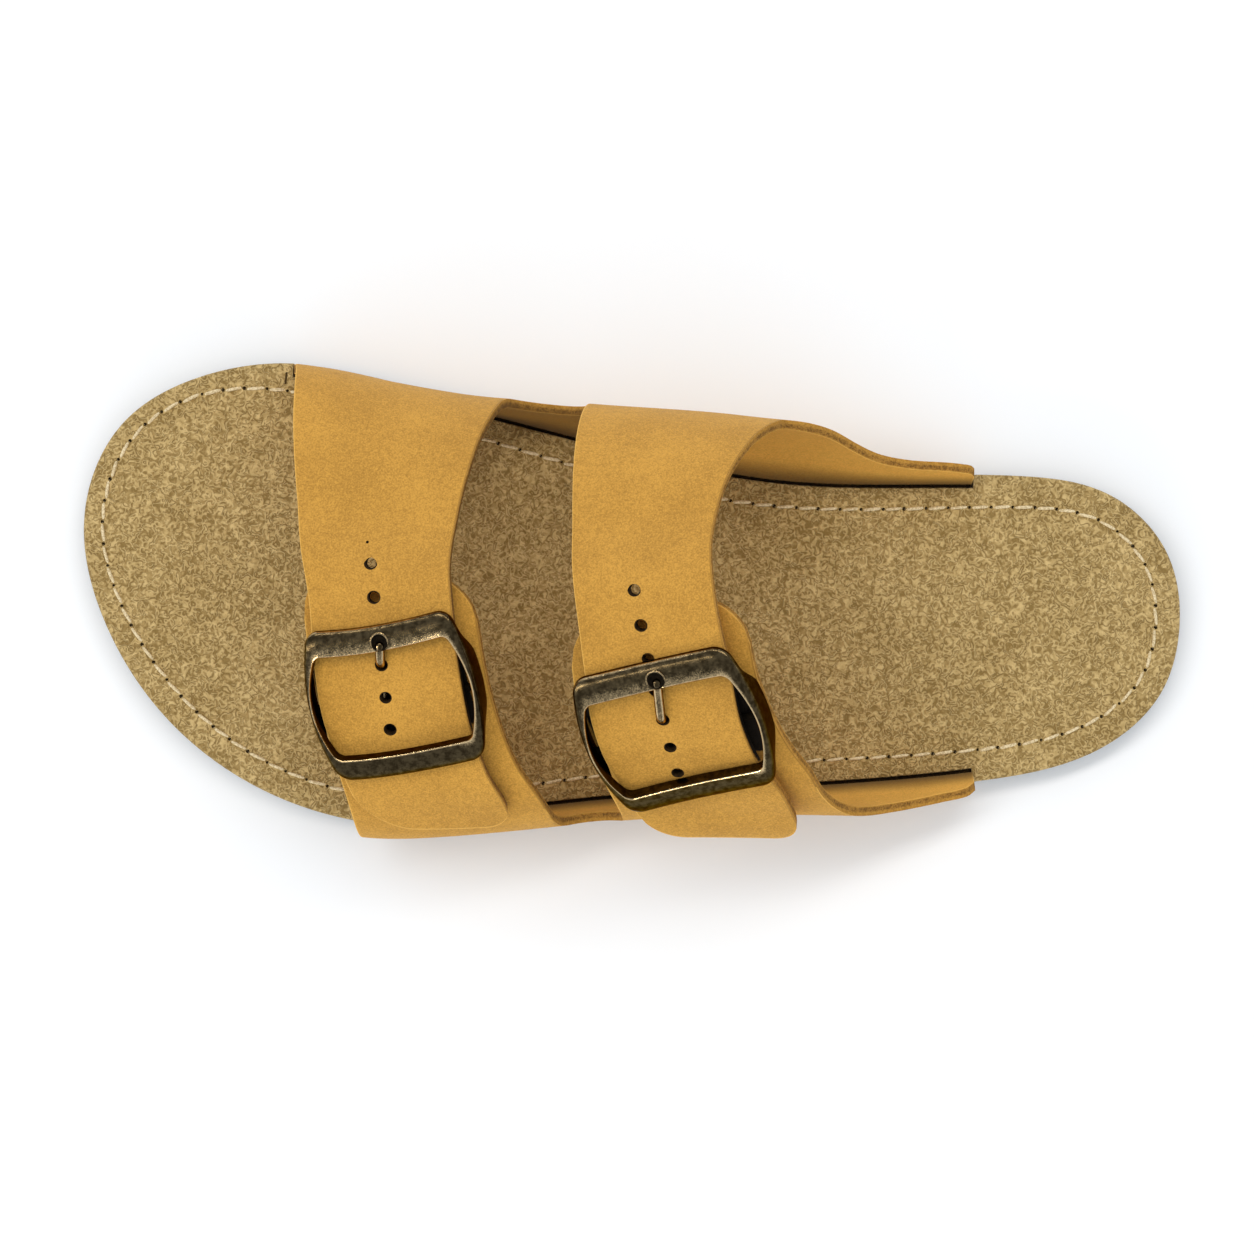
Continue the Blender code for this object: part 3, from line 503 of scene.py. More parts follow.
# Plain materials of two tones: size and harshness of the lumps, how far to both sides of half the
# tones spread, dark and light colour, roughness and gloss of the surface, and depth of its relief
Tones = namedtuple("Tones", "name size harsh spread dark light roughness gloss relief")
TWO_TONES = table(
    Tones,
    ("leather_rim", 0.5, 0.65, 0.15, (0.68, 0.362, 0.074), (0.92, 0.560, 0.163), 0.85, 0.25, 0.1),
    # Seam rows, seen only through the gap at the footbed: painted shade, near black
    ("seam_shade", 0.8, 0.5, 0.2, (0.012, 0.007, 0.003), (0.040, 0.022, 0.008), 0.9, 0.1, 0.2),
    # Near black for the prong's seat, and for the pivot bar, where it is painted shade in the gap under
    # the strap
    ("dark_seat_and_pivot_shade", 0.5, 0.5, 0.2, (0.004, 0.003, 0.002), (0.012, 0.008, 0.004), 0.8, 0.04, 0.06),
    ("thread", 0.45, 0.6, 0.15, (0.55, 0.415, 0.215), (0.85, 0.71, 0.45), 0.7, 0.35, 0.12),
)
# Inside of needle holes and the slit: painted shade of the recess
HOLE_DARK = (0.055, 0.034, 0.013)
HOLE_LIGHT = (0.120, 0.076, 0.029)

# Heights between which the leather's inside darkens towards the footbed
SHADE_LOW = INSOLE_TOP
SHADE_HIGH = INSOLE_TOP + 8.0

# Camera: straight over the sandal, turned as the photograph is
CAMERA_PLACE = (0.1, 1.0, 900.0)
CAMERA_TURN = 184.686
CAMERA_LENS = 104.45
CAMERA_NEAR = 10.0

# Floor, surroundings, and lights in millimetres and watts; a glint light shows in gloss alone,
# and the others show everywhere but there
FLOOR_HALF = 1500.0
FLOOR_DROP = 0.02
FLOOR_COLOUR = (0.955, 0.97, 0.985)
WORLD_COLOUR = (0.957, 1.0, 1.043, 1.0)
WORLD_STRENGTH = 0.79
Light = namedtuple("Light", "name place length width power colour glint")
LIGHTS = table(
    Light,
    ("key", (200.0, -376.0, 1034.0), 1700.0, 220.0, 5.2, (1.06, 1.0, 0.94), False),
    ("fill", (100.0, 1100.0, 350.0), 900.0, 200.0, 2.9, (1.0, 1.0, 1.0), False),
    ("glint_inner", (0.0, -900.0, 520.0), 1500.0, 60.0, 9.0, (1.0, 0.93, 0.8), True),
    ("glint_toe", (900.0, 100.0, 520.0), 60.0, 1000.0, 7.0, (1.0, 0.93, 0.8), True),
)

random = np.random.default_rng(SEED)


# Curves and the last

def column_of(rows, name):
    """One named column of a table."""
    return np.array([getattr(row, name) for row in rows])


def unit(vectors):
    """Vectors made one long."""
    return vectors / np.linalg.norm(vectors, axis=-1, keepdims=True)


def ease(at, low, high):
    """Share of the way from low to high, which starts and stops softly."""
    share = np.clip((at - low) / (high - low), 0.0, 1.0)
    return share * share * (3.0 - 2.0 * share)


def hermite(start, end, leave, arrive, share):
    """Places a share of the way from start to end, with the given speeds at both."""
    rest = 1.0 - share
    return (
        start * (1.0 + 2.0 * share) * rest * rest
        + end * (3.0 - 2.0 * share) * share * share
        + leave * share * rest * rest
        - arrive * share * share * rest
    )


def smooth(at, stations, values):
    """Values at places, by a smooth curve through the stations; held level past the ends."""
    slopes = np.gradient(values, stations)
    span = np.clip(np.searchsorted(stations, at) - 1, 0, len(stations) - 2)
    width = stations[span + 1] - stations[span]
    share = np.clip((at - stations[span]) / width, 0.0, 1.0)
    leave = width * slopes[span]
    arrive = width * slopes[span + 1]
    return hermite(values[span], values[span + 1], leave, arrive, share)


def closed_spline(anchors, steps):
    """Points of the smooth closed curve through the anchors, with steps points a span."""
    following = np.roll(anchors, -1, axis=0)
    after = np.linalg.norm((following - anchors)[:, :2], axis=1)[:, None]
    before = np.roll(after, 1, axis=0)
    slopes = (following - anchors) / after
    same = np.eye(len(anchors))
    system = 2.0 * (before + after) * same
    system += after * np.roll(same, -1, axis=1) + before * np.roll(same, 1, axis=1)
    tangents = np.linalg.solve(system, 3.0 * (after * np.roll(slopes, 1, axis=0) + before * slopes))
    leave = after * tangents
    arrive = after * np.roll(tangents, -1, axis=0)
    rows = [hermite(anchors, following, leave, arrive, step / steps) for step in range(steps)]
    return np.stack(rows, axis=1).reshape(-1, anchors.shape[1])


def lengths_along(points):
    """Length of a line from its start to each of its points."""
    return np.concatenate([[0.0], np.cumsum(np.linalg.norm(np.diff(points, axis=0), axis=1))])


def points_at(at, lengths, points):
    """Points of a line at the given lengths from its start."""
    return np.stack([np.interp(at, lengths, column) for column in points.T], axis=1)


def outline_normals(curve):
    """Outward directions along a closed outline that runs anticlockwise."""
    ahead = np.roll(curve, -1, axis=0) - np.roll(curve, 1, axis=0)
    return unit(np.stack([ahead[:, 1], -ahead[:, 0]], axis=1))


OUTLINE = closed_spline(np.array([(p.x, p.y, p.stitch) for p in SOLE_OUTLINE]), OUTLINE_STEPS)
SOLE_CURVE = OUTLINE[:, :2]
SOLE_NORMALS = outline_normals(SOLE_CURVE)
HEEL_INDEX = int(np.argmin(SOLE_CURVE[:, 0]))
TOE_INDEX = int(np.argmax(SOLE_CURVE[:, 0]))


def sole_edge(x, side):
    """How far out the sole's edge is at x, on the inner (-1) or outer (1) side."""
    if side < 0:
        half = SOLE_CURVE[HEEL_INDEX : TOE_INDEX + 1]
    else:
        half = np.vstack([SOLE_CURVE[TOE_INDEX:], SOLE_CURVE[: HEEL_INDEX + 1]])
    half = half[np.argsort(half[:, 0])]
    return np.interp(x, half[:, 0], half[:, 1])


def edge_slope(x, side):
    """How fast the sole's edge runs outwards at x."""
    rise = sole_edge(x + PROBE_ALONG, side) - sole_edge(x - PROBE_ALONG, side)
    return rise / (2.0 * PROBE_ALONG)


def seam_y(x, side):
    """Where the leather's inner face meets the insole at x."""
    return sole_edge(x, side) - side * (SEAM_INSET + LEATHER) * np.hypot(1.0, edge_slope(x, side))


def section_curve(x):
    """The last's section at x from the inner to the outer seam, at even steps, and its length."""
    stations = column_of(LAST, "x")
    size = Section(*[smooth(x, stations, column_of(LAST, name)) for name in Section._fields])
    inner_side = (-1, size.medial_out, size.medial_z, size.medial_round)
    outer_side = (1, size.lateral_out, size.lateral_z, size.lateral_round)
    crown = np.array([size.crown_y, size.crown_z])
    shares = np.arange(SECTION_STEPS)[:, None] / SECTION_STEPS
    halves = []
    for side, out, height, bend in (inner_side, outer_side):
        seam = np.array([seam_y(x, side), INSOLE_TOP])
        bulge = np.array([seam[0] + side * out, height])
        up = 3.0 * (bulge - seam)
        over = 3.0 * (crown - bulge)
        wall = hermite(seam, bulge, up * (WALL_FLARE, WALL_HOLD), up * (0.0, WALL_HOLD), shares)
        shoulder = hermite(bulge, crown, over * (0.0, bend), over * (bend, 0.0), shares)
        halves.append(np.vstack([wall, shoulder]))
    curve = np.vstack([halves[0], crown[None, :], halves[1][::-1]])
    lengths = lengths_along(curve)
    places = points_at(np.linspace(0.0, lengths[-1], GRID_AROUND + 1), lengths, curve)
    return np.insert(places, 0, x, axis=1), lengths[-1]


GRID_XS = np.arange(GRID_START, GRID_END, GRID_STEP)
SECTIONS = [section_curve(x) for x in GRID_XS]
LAST_GRID = np.array([curve for curve, length in SECTIONS])
SECTION_LENGTHS = np.array([length for curve, length in SECTIONS])


def section_length(x):
    """Way round the last at x, from seam to seam."""
    return np.interp(x, GRID_XS, SECTION_LENGTHS)


def last_places(x, around):
    """Points of the last's surface; around runs from the inner seam (0) to the outer (1)."""
    u = np.clip((x - GRID_START) / GRID_STEP, 0.0, len(GRID_XS) - 1 - GRID_HAIR)
    v = np.clip(around * GRID_AROUND, 0.0, GRID_AROUND - GRID_HAIR)
    i = u.astype(int)
    j = v.astype(int)
    a = (u - i)[..., None]
    b = (v - j)[..., None]
    low = LAST_GRID[i, j] * (1.0 - b) + LAST_GRID[i, j + 1] * b
    high = LAST_GRID[i + 1, j] * (1.0 - b) + LAST_GRID[i + 1, j + 1] * b
    return low * (1.0 - a) + high * a


def layer_places(x, around, lift):
    """Points standing off the last's surface by lift."""
    x = np.asarray(x, float)
    around = np.asarray(around, float)
    near = np.clip(around, PROBE_AROUND, 1.0 - PROBE_AROUND)
    ahead = last_places(x + PROBE_ALONG, near) - last_places(x - PROBE_ALONG, near)
    beside = last_places(x, near + PROBE_AROUND) - last_places(x, near - PROBE_AROUND)
    normal = unit(np.cross(ahead, beside))
    return last_places(x, around) + np.asarray(lift, float)[..., None] * normal


# Meshes and materials

def to_metres(points):
    """Points in the last's axes as metres in the part's frame."""
    return (np.asarray(points, float) - (*FOOTPRINT_MIDDLE, 0.0)) * MM


def add_to_scene(name, data):
    """A new object in the scene."""
    thing = bpy.data.objects.new(name, data)
    bpy.context.scene.collection.objects.link(thing)
    return thing


def new_object(name, points, faces, *materials):
    """A smooth mesh object from points in the last's axes."""
    mesh = bpy.data.meshes.new(name)
    mesh.from_pydata(to_metres(points).tolist(), [], faces)
    mesh.update()
    for material in materials:
        mesh.materials.append(material)
    mesh.shade_smooth()
    return add_to_scene(name, mesh)


def keep_number(thing, name, values):
    """Keep a number for each point of a mesh, for its material to read."""
    kept = thing.data.attributes.new(name, "FLOAT", "POINT")
    kept.data.foreach_set("value", np.asarray(values, np.float32))


def mend(thing):
    """Weld a mesh's points that meet, and turn its faces outwards."""
    work = bmesh.new()
    work.from_mesh(thing.data)
    bmesh.ops.remove_doubles(work, verts=work.verts, dist=WELD * MM)
    bmesh.ops.dissolve_degenerate(work, edges=work.edges, dist=WELD * MM)
    bmesh.ops.recalc_face_normals(work, faces=work.faces)
    work.to_mesh(thing.data)
    work.free()


def cut_out(thing, cutters, sharp_angle):
    """Apply modifiers and cutters, which then go; edges over an angle in degrees aren't smoothed."""
    for cutter in cutters:
        hole = thing.modifiers.new(cutter.name, "BOOLEAN")
        hole.operation = "DIFFERENCE"
        hole.solver = "EXACT"
        hole.object = cutter
    graph = bpy.context.evaluated_depsgraph_get()
    mesh = bpy.data.meshes.new_from_object(thing.evaluated_get(graph))
    thing.modifiers.clear()
    thing.data = mesh
    mesh.set_sharp_from_angle(angle=math.radians(sharp_angle))
    for cutter in cutters:
        bpy.data.objects.remove(cutter)


def add_piece(thing, slot, *nodes):
    """Make an object one of the sandal's pieces, standing for solids of the part."""
    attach(thing, "root")
    if nodes:
        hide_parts(*nodes)


def ring_faces(rings, count, looped=False):
    """Faces between closed rings of equal count, with filled ends or joined from last to first."""
    faces = []
    for level in range(rings if looped else rings - 1):
        low = level * count
        high = (level + 1) % rings * count
        for i in range(count):
            j = (i + 1) % count
            faces.append((low + i, low + j, high + j, high + i))
    if not looped:
        faces.append(tuple(reversed(range(count))))
        faces.append(tuple(range((rings - 1) * count, rings * count)))
    return faces


def tube(path, radii, sides, side_hint=UP):
    """Points and faces of a closed round tube along a path."""
    path = np.asarray(path, float)
    along = unit(np.gradient(path, axis=0))
    across = unit(np.cross(along, side_hint))
    third = np.cross(along, across)
    turns = np.arange(sides)[:, None] * 2.0 * math.pi / sides
    rings = []
    for k, radius in enumerate(radii):
        rings.append(path[k] + radius * (np.cos(turns) * across[k] + np.sin(turns) * third[k]))
    return np.vstack(rings), ring_faces(len(path), sides)


def join_parts(parts):
    """One list of points and faces from several."""
    faces = []
    start = 0
    for points, some_faces in parts:
        faces += [tuple(index + start for index in face) for face in some_faces]
        start += len(points)
    return np.vstack([points for points, some_faces in parts]), faces


class Shading:
    """A material's node tree, with short ways to add nodes to it."""

    def __init__(self, name):
        self.material = bpy.data.materials.new(name)
        self.material.use_nodes = True
        self.tree = self.material.node_tree
        self.shader = self.tree.nodes["Principled BSDF"]
        self.place = self.node("TexCoord", "Object")

    def link(self, source, socket):
        """Feed a socket from a node's output, or set it to a plain number or colour."""
        if isinstance(source, bpy.types.NodeSocket):
            self.tree.links.new(source, socket)
        elif socket.type == "RGBA":
            socket.default_value = (*source, 1.0)
        else:
            socket.default_value = source

    def node(self, kind, output, inputs=(), **settings):
        """Add a node with its inputs and settings, and give one of its outputs."""
        node = self.tree.nodes.new("ShaderNode" + kind)
        for name, value in settings.items():
            setattr(node, name, value)
        for key, source in dict(inputs).items():
            self.link(source, node.inputs[key])
        return node.outputs[output]

    def add(self, first, second):
        """Sum of two numbers."""
        return self.node("Math", 0, {0: first, 1: second}, operation="ADD")

    def times(self, first, second):
        """Product of two numbers."""
        return self.node("Math", 0, {0: first, 1: second}, operation="MULTIPLY")

    def stir(self, value, noise, share):
        """A number, moved up and down by a share of noise."""
        return self.add(value, self.times(self.add(noise, -0.5), share))

    def moved(self, x, y):
        """The place on the object, moved by millimetres."""
        return self.node("VectorMath", 0, {0: self.place, 1: (x * MM, y * MM, 0.0)}, operation="ADD")

    def noise(self, size, detail=2.0, roughness=0.5, distortion=0.0, at=None):
        """Noise whose lumps have about the given size in millimetres."""
        inputs = {"Scale": 1.0 / (size * MM), "Detail": detail, "Roughness": roughness}
        inputs |= {"Distortion": distortion, "Vector": self.place if at is None else at}
        return self.node("TexNoise", "Fac", inputs)

    def span(self, value, low, high, to_low=0.0, to_high=1.0):
        """A value's place between low and high, as one between to_low and to_high."""
        inputs = {"Value": value, "From Min": low, "From Max": high}
        inputs |= {"To Min": to_low, "To Max": to_high}
        return self.node("MapRange", "Result", inputs, interpolation_type="SMOOTHSTEP")

    def mix(self, factor, first, second):
        """A mix of two colours."""
        return self.node("Mix", 2, {0: factor, 6: first, 7: second}, data_type="RGBA")

    def attribute(self, name):
        """A number kept on the mesh's points."""
        return self.node("Attribute", "Fac", attribute_name=name)

    def bump(self, height, depth, strength=1.0, **under):
        """Relief of the given depth in millimetres, over the relief given as Normal."""
        inputs = {"Height": height, "Distance": depth * MM, "Strength": strength, **under}
        return self.node("Bump", "Normal", inputs)

    def finish(self, **values):
        """Feed or set the shader's sockets, with underscores for spaces, and give the material."""
        for name, source in values.items():
            self.link(source, self.shader.inputs[name.replace("_", " ")])
        return self.material


def felt_material():
    """Pressed fibre: short curled strands lying every way, with darker gaps between them."""
    s = Shading("felt")
    strands = []
    for layer in FELT_LAYERS:
        moved = s.moved(layer.shift, layer.shift)
        winding = s.noise(layer.size, 0.0, distortion=layer.curl, at=moved)
        wave = s.node("Math", 0, {0: s.times(winding, layer.strands * 2.0 * math.pi)}, operation="SINE")
        strands.append(s.span(wave, -0.9, 0.9))
    value = strands[0]
    for layer, strand in zip(FELT_LAYERS[1:], strands[1:]):
        patch = s.noise(layer.patch, 1.0, at=s.moved(0.0, layer.shift))
        value = s.node("Mix", 0, {0: s.span(patch, 0.46, 0.54), 2: value, 3: strand})
    value = s.times(value, 0.56)
    for stir in FELT_STIRS:
        value = s.stir(value, s.noise(stir.size, stir.detail), stir.share)
    value = s.add(value, 0.18)
    colour = s.mix(s.span(value, 0.05, 0.5), FELT_DARK, FELT_MIDDLE)
    colour = s.mix(s.span(value, 0.5, 1.0), colour, FELT_LIGHT)
    s.finish(Roughness=0.95, Specular_IOR_Level=0.15, Sheen_Weight=0.08, Sheen_Roughness=0.6)
    return s.finish(Base_Color=colour, Normal=s.bump(value, 0.3))


def leather_material(name, base, deep, grain_depth, sheen, shaded):
    """Brushed leather: even amber with soft clouds, a fine nap and very rare dark specks.

    Inside a buckle's window it is painted near black as shade, between the straps it is darkened as
    painted shade, and by the share shaded it darkens towards the footbed as painted shade.
    """
    s = Shading(name)
    cloud = s.noise(15.0, 3.0, 0.55)
    mottle = s.noise(1.3, 3.0, 0.6)
    grain = s.noise(0.42, 3.0, 0.7)
    value = s.add(s.times(s.add(cloud, mottle), 0.20), s.times(grain, 0.60))
    colour = s.mix(s.span(value, 0.36, 0.64), deep, base)
    speck = s.span(s.noise(0.9, 0.0), 0.85, 0.88)
    colour = s.mix(s.times(speck, 0.5), colour, np.multiply(base, SPECK_TINT))
    border = s.attribute("border")
    colour = s.mix(s.span(border, 0.45, 1.0, 0.0, 0.75), colour, np.multiply(base, PALE_TINT))
    burnt = s.stir(s.times(border, -1.0), grain, 0.8)
    colour = s.mix(s.span(burnt, 0.3, 0.9, 0.0, 0.8), colour, np.multiply(base, BURNT_TINT))
    if shaded:
        height = s.node("SeparateXYZ", "Z", {0: s.place})
        shade = s.span(height, SHADE_LOW * MM, SHADE_HIGH * MM, shaded, 0.0)
        colour = s.mix(shade, colour, SHADE_COLOUR)
    # Painted shade: near black inside a buckle's window, and darker between the straps
    mark_level = s.stir(s.attribute("window_shade"), grain, 0.6)
    colour = s.mix(s.span(mark_level, 0.3, 0.6), colour, WINDOW_SHADE_COLOUR)
    colour = s.mix(s.attribute("gloom"), colour, SHADE_BETWEEN_STRAPS_COLOUR)
    relief = s.bump(mottle, 0.25, 0.4, Normal=s.bump(grain, grain_depth))
    s.finish(Roughness=0.86, Specular_IOR_Level=0.25)
    s.finish(Sheen_Weight=sheen, Sheen_Roughness=0.45, Sheen_Tint=SHEEN_COLOUR)
    return s.finish(Base_Color=colour, Normal=relief)


def cut_edge_material():
    """Cut edge of the leather: amber, with rough brown fibres along its inner half."""
    s = Shading("leather_cut_edge")
    depth = s.attribute("depth")
    fibre = s.noise(0.45, 3.0, 0.7)
    rough = s.add(s.times(fibre, 0.7), s.times(s.noise(1.6), 0.3))
    band = s.times(s.span(depth, 0.25, 0.55), s.span(depth, 0.80, 0.95, 1.0, 0.0))
    amber = s.mix(s.span(rough, 0.35, 0.65), *EDGE_AMBER)
    brown = s.mix(s.span(rough, 0.38, 0.62), *EDGE_BROWN)
    colour = s.mix(band, amber, brown)
    # Painted shade on the cut edges too, inside a buckle's window and between the straps
    mark_level = s.stir(s.attribute("window_shade"), fibre, 0.9)
    colour = s.mix(s.span(mark_level, 0.1, 0.4), colour, WINDOW_SHADE_EDGE_COLOUR)
    colour = s.mix(s.attribute("gloom"), colour, SHADE_BETWEEN_STRAPS_COLOUR)
    s.finish(Roughness=0.95, Specular_IOR_Level=0.15)
    return s.finish(Base_Color=colour, Normal=s.bump(rough, 0.45))


def metal_material():
    """Antique bronze: dark finish, with brass where it is rubbed through and brass as painted
    highlights.
    """
    s = Shading("antique_bronze")
    blotch = s.noise(1.5, 4.0, 0.7)
    grain = s.noise(0.28, 2.0, 0.7)
    # Brass level from the mesh: rubbed-off finish, painted highlights, and painted shade where it is
    # lowest
    brass_level = s.stir(s.stir(s.attribute("wear"), blotch, 0.6), grain, 1.2)
    brass_share = s.span(brass_level, 0.2, 1.2)
    colour = s.mix(brass_share, s.mix(s.span(blotch, 0.35, 0.65), *PATINA), BRASS_WEAR_AND_HIGHLIGHT)
    roughness = s.add(s.times(brass_share, -0.08), s.span(grain, 0.3, 0.7, 0.16, 0.26))
    s.finish(Metallic=1.0, Specular_Tint=BRASS_GLANCE)
    return s.finish(Base_Color=colour, Roughness=roughness, Normal=s.bump(grain, 0.04, 0.5))


def rubber_material():
    """Dark brown rubber with a fine moulded grain."""
    s = Shading("rubber")
    grain = s.noise(0.6, 3.0, 0.6)
    colour = s.mix(s.span(s.noise(9.0), 0.3, 0.7), *RUBBER_BROWN)
    roughness = s.span(grain, 0.3, 0.7, 0.62, 0.8)
    return s.finish(Base_Color=colour, Roughness=roughness, Normal=s.bump(grain, 0.15))


def hole_material():
    """Dark inside of a needle hole or slit, as painted shade of the recess."""
    s = Shading("needle_hole")
    colour = s.mix(s.noise(0.3), HOLE_DARK, HOLE_LIGHT)
    return s.finish(Base_Color=colour, Roughness=1.0, Specular_IOR_Level=0.05)


def two_tone_material(tones):
    """A plain material of two tones in small lumps, with their relief."""
    s = Shading(tones.name)
    lump = s.noise(tones.size, 3.0, tones.harsh)
    colour = s.mix(s.span(lump, 0.5 - tones.spread, 0.5 + tones.spread), tones.dark, tones.light)
    s.finish(Roughness=tones.roughness, Specular_IOR_Level=tones.gloss)
    return s.finish(Base_Color=colour, Normal=s.bump(lump, tones.relief))


FELT = felt_material()
NUBUCK = leather_material("nubuck", *NUBUCK_COLOURS, grain_depth=0.15, sheen=0.09, shaded=0.0)
FLESH = leather_material("leather_inside", *FLESH_COLOURS, grain_depth=0.22, sheen=0.06, shaded=0.80)
CUT_EDGE = cut_edge_material()
RIM, SEAM, SEAT, THREAD = [two_tone_material(tones) for tones in TWO_TONES]
METAL = metal_material()
HOLE = hole_material()
RUBBER = rubber_material()
LEATHER_FACES = (FLESH, NUBUCK, CUT_EDGE, RIM, SEAM)


# Leather pieces

def around_of(side, climb):
    """Place round the last of a climb that starts at the given side's seam."""
    return climb if side < 0 else 1.0 - climb


def strap_x(strap, climb, share):
    """Place along the last of a strap's points; share runs from toe edge (0) to heel edge (1)."""
    climbs = column_of(strap.edges, "climb")
    toe = smooth(climb, climbs, column_of(strap.edges, "toe_x"))
    heel = smooth(climb, climbs, column_of(strap.edges, "heel_x"))
    return toe + (heel - toe) * share


def strap_lift(strap, climb):
    """How far a strap's inner face stands off the last."""
    lift = strap.lifts[0].lift
    for low, high in zip(strap.lifts, strap.lifts[1:]):
        lift = lift + (high.lift - low.lift) * ease(climb, low.climb, high.climb)
    return lift


def corner_drop(distance, radius):
    """How much shorter a rounded end is at a distance from its side."""
    if distance >= radius:
        return 0.0
    return radius - math.sqrt(radius * radius - (radius - distance) ** 2)


def strap_column(strap, share):
    """Places x, climbs and lifts of one line along a strap, from seam to rounded tip."""
    start = strap.tip - TAIL_REACH
    root = strap.toe_root + (strap.heel_root - strap.toe_root) * share
    tip_x = strap_x(strap, strap.tip, share)
    width = strap_x(strap, strap.tip, 0.0) - strap_x(strap, strap.tip, 1.0)
    drop = corner_drop(share * width, strap.toe_corner)
    drop += corner_drop((1.0 - share) * width, strap.heel_corner)
    wall = np.linspace(0.0, root, WALL_ROWS + 1)
    middle = np.linspace(root, start, strap.rows + 1)[1:]
    tail = np.linspace(start, strap.tip - drop / section_length(tip_x), TAIL_ROWS + 1)[1:]
    climbs = np.concatenate([wall, middle, tail])
    return strap_x(strap, climbs, share), climbs, strap_lift(strap, climbs)


def spread(count):
    """Shares from 0 to 1, somewhat closer together at both ends."""
    even = np.arange(count + 1) / count
    return (even + 0.5 - 0.5 * np.cos(math.pi * even)) / 2.0


def bridge_columns(pattern):
    """Lines up the low wall between the straps, whose top edge is a rounded U."""
    front = pattern.front
    rear = pattern.rear
    columns = []
    for share in spread(BRIDGE_COLUMNS)[1:-1]:
        root = front.heel_root + (rear.toe_root - front.heel_root) * share
        depth = (1.0 - abs(2.0 * share - 1.0) ** BRIDGE_SQUARE) ** (1.0 / BRIDGE_SQUARE)
        climbs = np.linspace(0.0, root - (root - pattern.bridge_low) * depth, WALL_ROWS + 1)
        toe = strap_x(front, climbs, 1.0)
        heel = strap_x(rear, climbs, 0.0)
        columns.append((toe + (heel - toe) * share, climbs, np.zeros_like(climbs)))
    return columns


def wing_columns(pattern):
    """Lines up the low wing behind the rear strap, along its falling top edge."""
    rear = pattern.rear
    rows = (EndRow(strap_x(rear, rear.heel_root, 1.0), rear.heel_root), *pattern.wing)
    lengths = lengths_along(np.array(rows) * (1.0, section_length(WING_MIDDLE)))
    seam_toe = strap_x(rear, 0.0, 1.0)
    seam_heel = pattern.wing[-1].x
    up = np.linspace(0.0, 1.0, WALL_ROWS + 1)
    columns = []
    for share in np.arange(1, WING_COLUMNS + 1) / WING_COLUMNS:
        bottom = seam_toe + (seam_heel - seam_toe) * share
        top_x = smooth(share * lengths[-1], lengths, column_of(rows, "x"))
        top = smooth(share * lengths[-1], lengths, column_of(rows, "climb"))
        columns.append((bottom + (top_x - bottom) * up, top * up, np.zeros_like(up)))
    return columns


def painted_window_shade(x, around):
    """How far pattern points lie inside the window of a buckle, where the leather gets painted shade.
    """
    most = np.zeros(np.shape(x))
    for buckle in BUCKLES:
        hole_x, hole_climb = hole_place(buckle.holes, buckle.hole)
        ahead = x - hole_x
        arc = (around - hole_climb) * section_length(hole_x)
        lean = math.radians(buckle.lean)
        tilt = math.radians(buckle.tilt)
        across = (ahead * math.cos(lean) + arc * math.sin(lean)) / math.cos(tilt - lean)
        along = (arc * math.cos(tilt) - ahead * math.sin(tilt)) / math.cos(tilt - lean)
        across = (across - buckle.aside) / buckle.width
        along = (along + buckle.reach) / buckle.length - FRAME_INNER.half_length
        beside = np.minimum(WINDOW_SHADE_TOE - across, WINDOW_SHADE_HEEL + across)
        inside = np.minimum(beside, WINDOW_SHADE_ALONG - np.abs(along))
        most = np.maximum(most, np.clip(inside / WINDOW_SHADE_SOFT, 0.0, 1.0))
    return most


